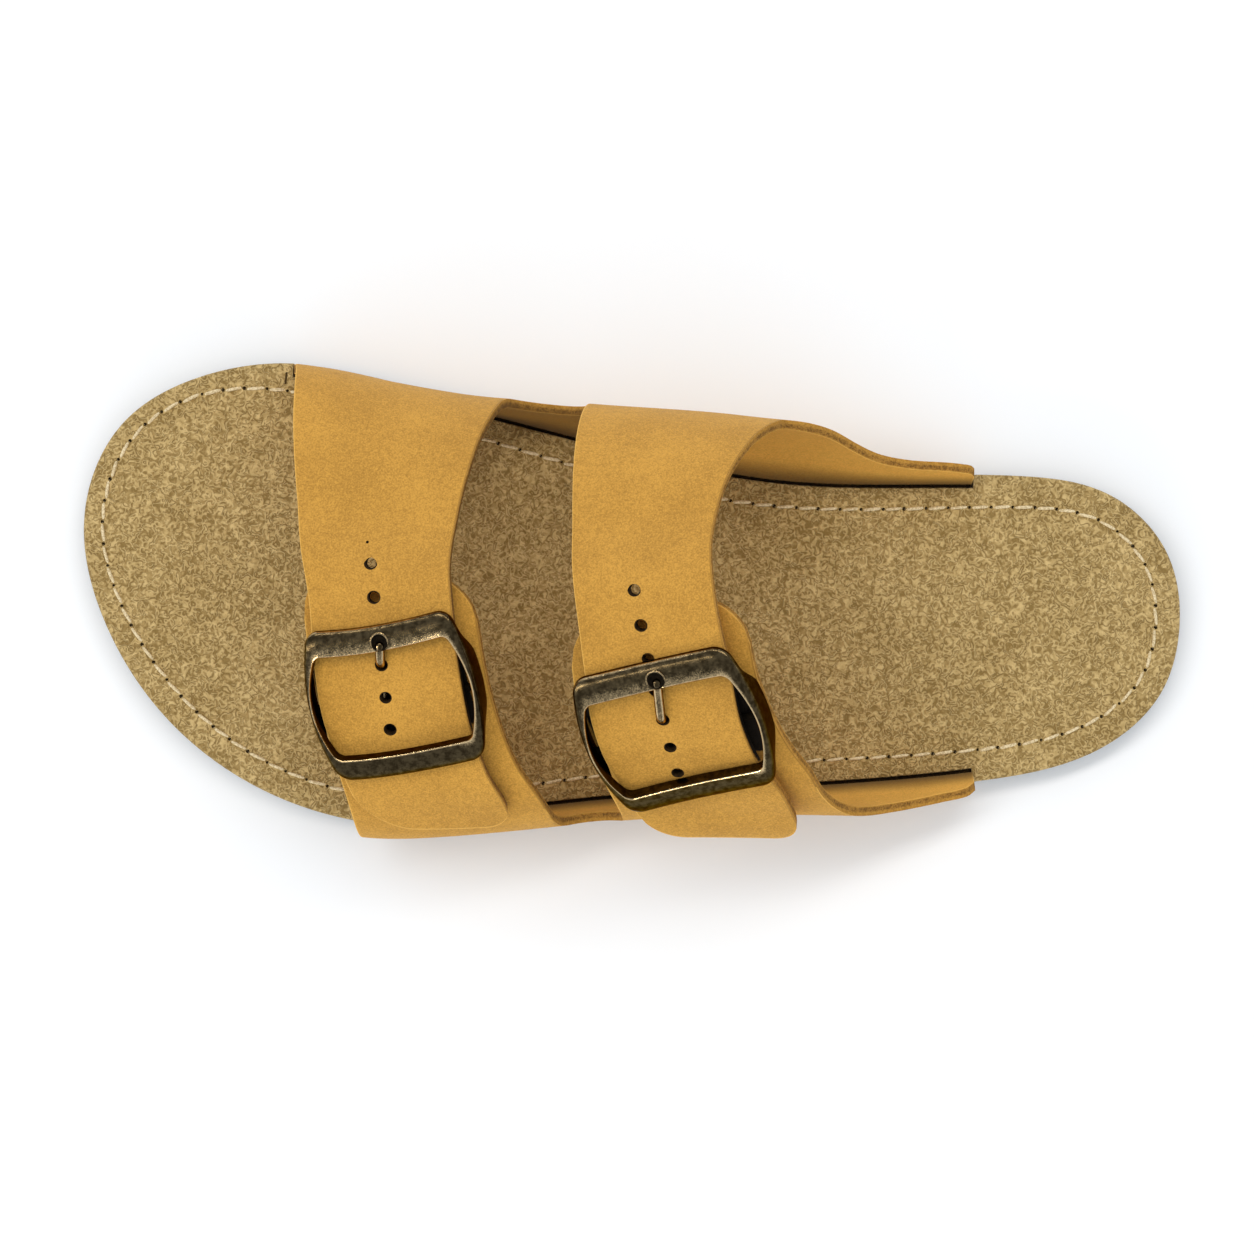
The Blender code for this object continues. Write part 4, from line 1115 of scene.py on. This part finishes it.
def leather_shell(pattern):
    """A leather piece's points and faces, each face's material, and numbers for its points."""
    side = pattern.side
    shares = spread(STRAP_COLUMNS)
    columns = [strap_column(pattern.front, share) for share in shares]
    columns += bridge_columns(pattern)
    columns += [strap_column(pattern.rear, share) for share in shares]
    columns += wing_columns(pattern)
    lengths = [len(climb) + SEAM_ROWS for x, climb, lift in columns]
    starts = [sum(lengths[:index]) for index in range(len(columns))]
    total = sum(lengths)
    inner = []
    outer = []
    window_shade = []
    for x, climb, lift in columns:
        around = around_of(side, climb)
        slope = edge_slope(x[0], side)
        stretch = math.hypot(1.0, slope)
        reach = side * MARGIN_WIDTH / stretch
        seam = seam_y(x[0], side)
        margin = (x[0] + reach * slope, seam - reach)
        corner = (x[0], seam + side * LEATHER * stretch)
        inner += [[(*margin, MARGIN_TOP), (x[0], seam, MARGIN_TOP)], layer_places(x, around, lift)]
        outer += [[(*margin, INSOLE_BOTTOM), (*corner, INSOLE_BOTTOM)]]
        outer += [layer_places(x, around, lift + LEATHER)]
        # Painted shade inside each buckle's window
        window_shade += [0.0] * SEAM_ROWS + list(painted_window_shade(x, around))
    sheet = []
    inside = []
    for i in range(len(columns) - 1):
        for row in range(min(lengths[i], lengths[i + 1]) - 1):
            here = starts[i] + row
            beside = starts[i + 1] + row
            face = (here, here + 1, beside + 1, beside)
            sheet.append(face if side < 0 else face[::-1])
            # The seam rows get the near-black painted shade seen through the gap at the footbed
            inside.append(LEATHER_FACES.index(SEAM if row < SEAM_ROWS else FLESH))
    edges = {edge for face in sheet for edge in zip(face, face[1:] + face[:1])}
    rim = sorted(edge for edge in edges if edge[::-1] not in edges)
    faces = [face[::-1] for face in sheet]
    faces += [tuple(index + total for index in face) for face in sheet]
    faces += [(b + total, a + total, a, b) for a, b in rim]
    finish = inside + [LEATHER_FACES.index(NUBUCK)] * len(sheet)
    finish += [LEATHER_FACES.index(CUT_EDGE)] * len(rim)
    border = np.zeros(2 * total)
    border[[index + part for edge in rim for index in edge for part in (0, total)]] = 1.0
    for heel in (STRAP_COLUMNS, 2 * STRAP_COLUMNS + BRIDGE_COLUMNS):
        border[total + starts[heel] : total + starts[heel] + lengths[heel]] *= -1.0
    # Painted shade between the straps, full at the bridge and fading into the straps
    near = np.clip((shares - BRIDGE_SHADE_START) / (BRIDGE_SHADE_FULL - BRIDGE_SHADE_START), 0.0, 1.0)
    near = np.concatenate([near, np.ones(BRIDGE_COLUMNS - 1), near[::-1], np.zeros(WING_COLUMNS)])
    clean = np.zeros(total)
    numbers = {
        "depth": np.repeat([1.0, 0.0], total),
        "window_shade": np.concatenate([window_shade, clean] if side < 0 else [clean, window_shade]),
        "border": border,
        "gloom": np.concatenate([np.repeat(pattern.bridge_gloom * near, lengths), clean]),
    }
    return np.vstack(inner + outer), faces, finish, numbers


def hole_place(holes, index):
    """Pattern place (x, climb) of one punched hole."""
    climb = holes.first_climb
    for step in range(index):
        climb += HOLE_PITCH / section_length(holes.first_x + step * holes.step_x)
    return holes.first_x + index * holes.step_x, climb


def punch(strap, x, climb, heights, radii):
    """Tube that cuts a strap at a pattern place, by heights from the strap's outer face."""
    path = layer_places(x, climb, strap_lift(strap, climb) + LEATHER + heights)
    return tube(path, radii, HOLE_SIDES, AHEAD)


def hole_cutter(name, strap, holes, nicks):
    """Cutter for a strap's punched holes, each a little wider or narrower, and for its nicks."""
    parts = []
    for index in range(holes.count):
        radii = HOLE_RADIUS * random.uniform(*HOLE_UNEVEN) + column_of(PUNCH, "wider")
        parts.append(punch(strap, *hole_place(holes, index), column_of(PUNCH, "height"), radii))
    for nick in nicks:
        heights = np.array([-nick.radius, LEATHER])
        parts.append(punch(strap, nick.x, nick.climb, heights, np.full(2, nick.radius)))
    return new_object(name, *join_parts(parts), SEAM)


def make_leather(name, pattern, node, cutters):
    """A leather piece with nap outside, flesh inside, cut edges and punched holes."""
    points, faces, finish, numbers = leather_shell(pattern)
    thing = new_object(name, points, faces, *LEATHER_FACES)
    thing.data.polygons.foreach_set("material_index", finish)
    for label, values in numbers.items():
        keep_number(thing, label, values)
    edge = thing.modifiers.new("edges", "BEVEL")
    edge.width = EDGE_ROUND * MM
    edge.material = LEATHER_FACES.index(RIM)
    edge.segments = EDGE_SEGMENTS
    edge.limit_method = "ANGLE"
    edge.angle_limit = math.radians(EDGE_ANGLE)
    cut_out(thing, cutters, LEATHER_SHARP)
    add_piece(thing, "leather", node)


# Footbed, stitches and sole

def notched_outline():
    """The outline as rows of point, outward direction and whether the upper passes there."""
    spans = {}
    for pattern in (MEDIAL_PATTERN, LATERAL_PATTERN):
        toe_end = strap_x(pattern.front, 0.0, 0.0) + NOTCH_END_GAP
        spans[pattern.side] = (pattern.wing[-1].x - NOTCH_END_GAP, toe_end)
    rows = []
    for i, here in enumerate(SOLE_CURVE):
        low, high = spans[-1 if HEEL_INDEX <= i < TOE_INDEX else 1]
        ahead = SOLE_CURVE[(i + 1) % len(SOLE_CURVE)]
        rows.append((here, SOLE_NORMALS[i], low < here[0] < high))
        for end in (low, high):
            share = (end - here[0]) / (ahead[0] - here[0])
            if 0.0 < share < 1.0:
                point = here + (ahead - here) * share
                entering = low < ahead[0] < high
                rows.append((point, SOLE_NORMALS[i], not entering))
                rows.append((point, SOLE_NORMALS[i], entering))
    return rows


def sole_layer(name, rows, levels, *materials):
    """A closed layer of the sole from the outline's rows, set in and raised level by level."""
    points = []
    for level in levels:
        for point, outward, in_notch in rows:
            inset = level.notch if in_notch else level.inward
            points.append((*(point - outward * inset), level.height))
    return new_object(name, points, ring_faces(len(levels), len(rows)), *materials)


def stitch_path():
    """Needle holes along the stitch line, almost evenly spaced, and the outward directions there."""
    line = SOLE_CURVE - SOLE_NORMALS * OUTLINE[:, 2:3]
    loop = np.vstack([line, line[:1]])
    outward = np.vstack([SOLE_NORMALS, SOLE_NORMALS[:1]])
    lengths = lengths_along(loop)
    count = int(round(lengths[-1] / STITCH_PITCH))
    at = np.arange(count) * lengths[-1] / count + random.normal(0.0, STITCH_SCATTER, count)
    return points_at(at, lengths, loop), unit(points_at(at, lengths, outward))


def make_footbed(holes):
    """Felt footbed with rounded edges, needle holes and the small slit beside the front strap."""
    thing = sole_layer("felt_footbed", notched_outline(), FOOTBED_LEVELS, FELT, HOLE)
    mend(thing)
    slit = [(*place, INSOLE_TOP) for place in SLIT]
    parts = [tube(slit, np.full(2, SLIT_RADIUS), NEEDLE_SIDES)]
    for hole in holes:
        path = [(*hole, INSOLE_TOP - NEEDLE_DEPTH), (*hole, INSOLE_TOP + NEEDLE_OVER)]
        radius = NEEDLE_RADIUS * random.uniform(*NEEDLE_UNEVEN)
        parts.append(tube(path, (radius * NEEDLE_TAPER, radius), NEEDLE_SIDES, AHEAD))
    cut_out(thing, [new_object("needle_cutter", *join_parts(parts), HOLE)], SOLE_SHARP)
    add_piece(thing, "insole", "insole")


def make_stitches(holes, normals):
    """Thread from needle hole to needle hole, each stitch bowed up and a little slanted."""
    parts = []
    share = np.linspace(0.0, 1.0, THREAD_STEPS)
    bow = np.sin(math.pi * share) ** STITCH_BOW
    for i in range(len(holes)):
        j = (i + 1) % len(holes)
        middle = (holes[i] + holes[j]) / 2.0
        half = (holes[j] - holes[i]) / 2.0 * STITCH_SHARE
        slant = STITCH_SLANT * random.uniform(*SLANT_UNEVEN)
        start = middle - half + normals[i] * slant
        end = middle + half - normals[j] * slant
        flat = start + (end - start) * share[:, None]
        height = INSOLE_TOP - STITCH_DIVE + bow * (STITCH_RISE + random.uniform(*RISE_UNEVEN))
        thickness = THREAD_END + (1.0 - THREAD_END) * bow
        radii = THREAD_RADIUS * random.uniform(*THREAD_UNEVEN) * thickness
        parts.append(tube(np.column_stack([flat, height]), radii, THREAD_SIDES))
    thing = new_object("footbed_stitches", *join_parts(parts), THREAD)
    add_piece(thing, "insole")


def make_outsole():
    """Thin rubber sole with rounded edges."""
    rows = [(point, outward, False) for point, outward in zip(SOLE_CURVE, SOLE_NORMALS)]
    thing = sole_layer("rubber_outsole", rows, OUTSOLE_LEVELS, RUBBER)
    thing.data.set_sharp_from_angle(angle=math.radians(SOLE_SHARP))
    add_piece(thing, "outsole", "outsole")


# Buckles

def lower_share(along):
    """Share of the way from a frame's upper bar to its lower one."""
    return (along / FRAME_INNER.half_length + 1.0) / 2.0


def buckle_places(buckle, along, across, height):
    """Points over the last in a buckle's own sizes: along the strap, across to the toe, and up."""
    hole_x, hole_climb = hole_place(buckle.holes, buckle.hole)
    lean = math.radians(buckle.lean)
    tilt = np.radians(buckle.tilt + buckle.twist * lower_share(along))
    along = (along + FRAME_INNER.half_length) * buckle.length - buckle.reach
    across = across * buckle.width + buckle.aside
    x = hole_x + across * np.cos(tilt) - along * math.sin(lean)
    arc = along * math.cos(lean) + across * np.sin(tilt)
    return layer_places(x, hole_climb + arc / section_length(hole_x), height)


def frame_ring(ring):
    """Plan of a barrel-sided rounded rectangle as (along, across) points, corner by corner."""
    quarter = np.radians(np.linspace(0.0, 90.0, FRAME_CORNER_STEPS + 1))
    middle = np.array([ring.half_length, ring.half_width]) - ring.corner
    corners = []
    for turn, signs in enumerate(((1, 1), (-1, 1), (-1, -1), (1, -1))):
        angles = quarter + turn * math.pi / 2.0
        arc = np.stack([np.cos(angles), np.sin(angles)], axis=1)
        corners.append(middle * signs + ring.corner * arc)
    points = []
    for here, following in zip(corners, corners[1:] + corners[:1]):
        points.append(here[:-1])
        points.append(np.linspace(here[-1], following[0], FRAME_SIDE_STEPS, endpoint=False))
    along, across = np.vstack(points).T
    swell = 1.0 - (along / ring.half_length) ** 2
    return np.stack([along, across * (1.0 + ring.barrel * swell / ring.half_width)], axis=1)


def side_depth(places):
    """How far a frame's outer rim reaches below its bars, most where it carries the pivot."""
    shallow = ease(np.abs(places[:, 0]) / FRAME_INNER.half_length, SIDE_DEEP, SIDE_SHALLOW)
    depth = BAR_STEP + (BAR_BOTTOM - SIDE_BOTTOM - BAR_STEP) * (1.0 - shallow)
    return np.where(np.abs(places[:, 1]) < FRAME_INNER.half_width, BAR_STEP, depth)


def make_frame(buckle):
    """A buckle's frame: one closed ring bent to the strap, with the prong's round seat."""
    inner = frame_ring(FRAME_INNER)
    width = frame_ring(FRAME_OUTER) - inner
    depth = side_depth(inner)
    lower = np.clip(lower_share(inner[:, 0]), 0.0, 1.0)
    heel = np.clip(-inner[:, 1] / FRAME_INNER.half_width, 0.0, 1.0) ** FRAME_HEEL_POWER
    points = []
    wear = []
    for spot in FRAME_PROFILE:
        along, across = (inner + unit(width) * spot.rim + width * spot.outward).T
        height = BAR_BOTTOM + FRAME_THICKNESS * spot.upward - depth * spot.deep
        points.append(buckle_places(buckle, along, across, height))
        # How much brass shows: rubbed-off finish, painted highlights on rims and edges, painted shade
        # on the inner wall
        mark_level = spot.wear_up + (spot.wear_low - spot.wear_up) * lower
        wear.append(mark_level + (spot.wear_heel - mark_level) * heel)
    faces = ring_faces(len(FRAME_PROFILE), len(inner), looped=True)
    name = "buckle_frame_" + buckle.label
    thing = new_object(name + "_look", np.vstack(points), faces, METAL, SEAT)
    keep_number(thing, "wear", np.concatenate(wear))
    mend(thing)
    cut_out(thing, [seat_cutter(buckle)], FRAME_SHARP)
    add_piece(thing, "buckle", name)


def prong_hole(buckle):
    """Place along a buckle of the hole that its prong goes through."""
    return buckle.reach / buckle.length - FRAME_INNER.half_length


def prong_across(buckle, along):
    """Places across a buckle of the straight line that its prong takes."""
    hole = prong_hole(buckle)
    return -buckle.aside / buckle.width + buckle.swing * (along - hole) / (hole - SEAT_ALONG)


def seat_points(buckle, turns, radius, height):
    """Points round the prong's seat, by height over the bar; turn 0 is towards the window."""
    along = SEAT_ALONG + radius * np.cos(turns)
    across = prong_across(buckle, SEAT_ALONG) + radius * np.sin(turns)
    return buckle_places(buckle, along, across, BAR_BOTTOM + FRAME_THICKNESS + height)


def seat_cutter(buckle):
    """Ball that sinks the prong's round seat into a frame's upper bar."""
    radius = (SEAT_RADIUS**2 + SEAT_DEPTH**2) / (2.0 * SEAT_DEPTH)
    cutter = new_object("seat_cutter", np.zeros((0, 3)), [], SEAT)
    work = bmesh.new()
    bmesh.ops.create_uvsphere(work, u_segments=SEAT_SIDES, v_segments=SEAT_RINGS, radius=radius * MM)
    work.to_mesh(cutter.data)
    work.free()
    cutter.location = to_metres(seat_points(buckle, 0.0, 0.0, radius - SEAT_DEPTH))
    return cutter


def make_seat_rim(buckle):
    """The raised lip round a prong's seat, open towards the window."""
    turns = np.linspace(SEAT_OPEN, 2.0 * math.pi - SEAT_OPEN, SEAT_STEPS)
    path = seat_points(buckle, turns, SEAT_RADIUS, -SEAT_RIM_SUNK)
    bow = np.sin(np.linspace(0.0, math.pi, SEAT_STEPS))
    radii = SEAT_RIM * np.clip(bow * SEAT_RIM_TAPER, SEAT_RIM_END, 1.0)
    points, faces = tube(path, radii, SEAT_RIM_SIDES)
    thing = new_object("buckle_seat_rim_" + buckle.label, points, faces, METAL)
    keep_number(thing, "wear", np.full(len(points), SEAT_RIM_WEAR))
    add_piece(thing, "buckle")


def make_prong(buckle):
    """A prong with a rounded tip, in one piece with the bar that it turns on."""
    hole = prong_hole(buckle)
    rise = PRONG_HEIGHT - PIVOT_HEIGHT
    places = [(PIVOT_ALONG + PRONG_ROOT, 0.0)]
    places += [(hole + row.from_hole, row.rise) for row in PRONG_ROWS]
    places += [((hole + SEAT_ALONG) / 2.0, PRONG_OVER), (SEAT_ALONG, PRONG_OVER)]
    places = np.array(places)
    lengths = lengths_along(places * (1.0, rise))
    at = np.linspace(0.0, lengths[-1], PRONG_STEPS)
    along = smooth(at, lengths, places[:, 0])
    height = PIVOT_HEIGHT + rise * smooth(at, lengths, places[:, 1])
    path = buckle_places(buckle, along, prong_across(buckle, along), height)
    from_tip = lengths[-1] - at
    rounding = np.clip(1.0 - from_tip / PRONG_RADIUS, 0.0, 1.0)
    radii = PRONG_RADIUS * np.sqrt(np.maximum(1.0 - rounding**2, PRONG_BLUNT))
    prong = tube(path, radii, PRONG_SIDES, AHEAD)
    across = np.linspace(-PIVOT_HALF, PIVOT_HALF, PIVOT_STEPS)
    bar = buckle_places(buckle, PIVOT_ALONG, across, PIVOT_HEIGHT)
    pivot = tube(bar, np.full(PIVOT_STEPS, PIVOT_RADIUS), PIVOT_SIDES)
    name = "buckle_prong_" + buckle.label
    thing = new_object(name + "_look", *join_parts([prong, pivot]), METAL, SEAT)
    # The pivot bar gets the near-black material, as painted shade in the gap under the strap
    thing.data.polygons.foreach_set("material_index", [0] * len(prong[1]) + [1] * len(pivot[1]))
    # Prong's brass level: painted highlight streaks, painted shade down its sides and where its tip
    # lies in the seat
    turns = np.arange(PRONG_SIDES) * 360.0 / PRONG_SIDES
    turns = np.minimum(turns, 360.0 - turns)
    streaks = smooth(turns, column_of(PRONG_STREAKS, "turn"), column_of(PRONG_STREAKS, "wear"))
    seated = smooth(from_tip, column_of(PRONG_SEATED, "from_tip"), column_of(PRONG_SEATED, "wear"))
    brass_level = seated[:, None] + streaks
    keep_number(thing, "wear", np.concatenate([brass_level.ravel(), np.full(len(pivot[0]), PAINTED_SHADE_LEVEL)]))
    add_piece(thing, "buckle", name)


# Stage

def make_floor():
    """A plain white floor."""
    material = Shading("floor").finish(Roughness=1.0, Specular_IOR_Level=0.0, Base_Color=FLOOR_COLOUR)
    corners = np.array([(-1.0, -1.0, 0.0), (1.0, -1.0, 0.0), (1.0, 1.0, 0.0), (-1.0, 1.0, 0.0)])
    points = corners * FLOOR_HALF - (0.0, 0.0, FLOOR_DROP)
    new_object("floor", points, [(0, 1, 2, 3)], material)


def add_light(row):
    """A rectangular light that faces the middle of the sandal."""
    light = bpy.data.lights.new(row.name, "AREA")
    light.shape = "RECTANGLE"
    light.size = row.length * MM
    light.size_y = row.width * MM
    light.energy = row.power
    light.color = row.colour
    thing = add_to_scene(row.name, light)
    thing.location = Vector(row.place) * MM
    thing.rotation_euler = (-Vector(row.place)).to_track_quat("-Z", "Y").to_euler()
    thing.visible_glossy = row.glint
    thing.visible_diffuse = not row.glint


def make_world():
    """Even pale surroundings."""
    world = bpy.data.worlds.new("studio")
    world.use_nodes = True
    background = world.node_tree.nodes["Background"]
    background.inputs["Color"].default_value = WORLD_COLOUR
    background.inputs["Strength"].default_value = WORLD_STRENGTH
    bpy.context.scene.world = world


def make_camera():
    """The photograph's view."""
    camera = bpy.data.cameras.new("camera")
    camera.lens = CAMERA_LENS
    camera.clip_start = CAMERA_NEAR * MM
    thing = add_to_scene("camera", camera)
    thing.location = Vector(CAMERA_PLACE) * MM
    thing.rotation_euler = (0.0, 0.0, math.radians(CAMERA_TURN))
    bpy.context.scene.camera = thing


make_camera()
make_outsole()
needle_holes, needle_normals = stitch_path()
make_footbed(needle_holes)
make_stitches(needle_holes, needle_normals)
medial_cutters = [
    hole_cutter("punch_front", FRONT_STRAP, FRONT_HOLES, [FRONT_NICK]),
    hole_cutter("punch_rear", REAR_STRAP, REAR_HOLES, []),
]
make_leather("upper_medial_leather", MEDIAL_PATTERN, "upper_medial", medial_cutters)
make_leather("upper_lateral_leather", LATERAL_PATTERN, "upper_lateral", [])
for one in BUCKLES:
    make_frame(one)
    make_seat_rim(one)
    make_prong(one)
make_floor()
make_world()
for one in LIGHTS:
    add_light(one)
bpy.context.scene.view_settings.view_transform = "Standard"
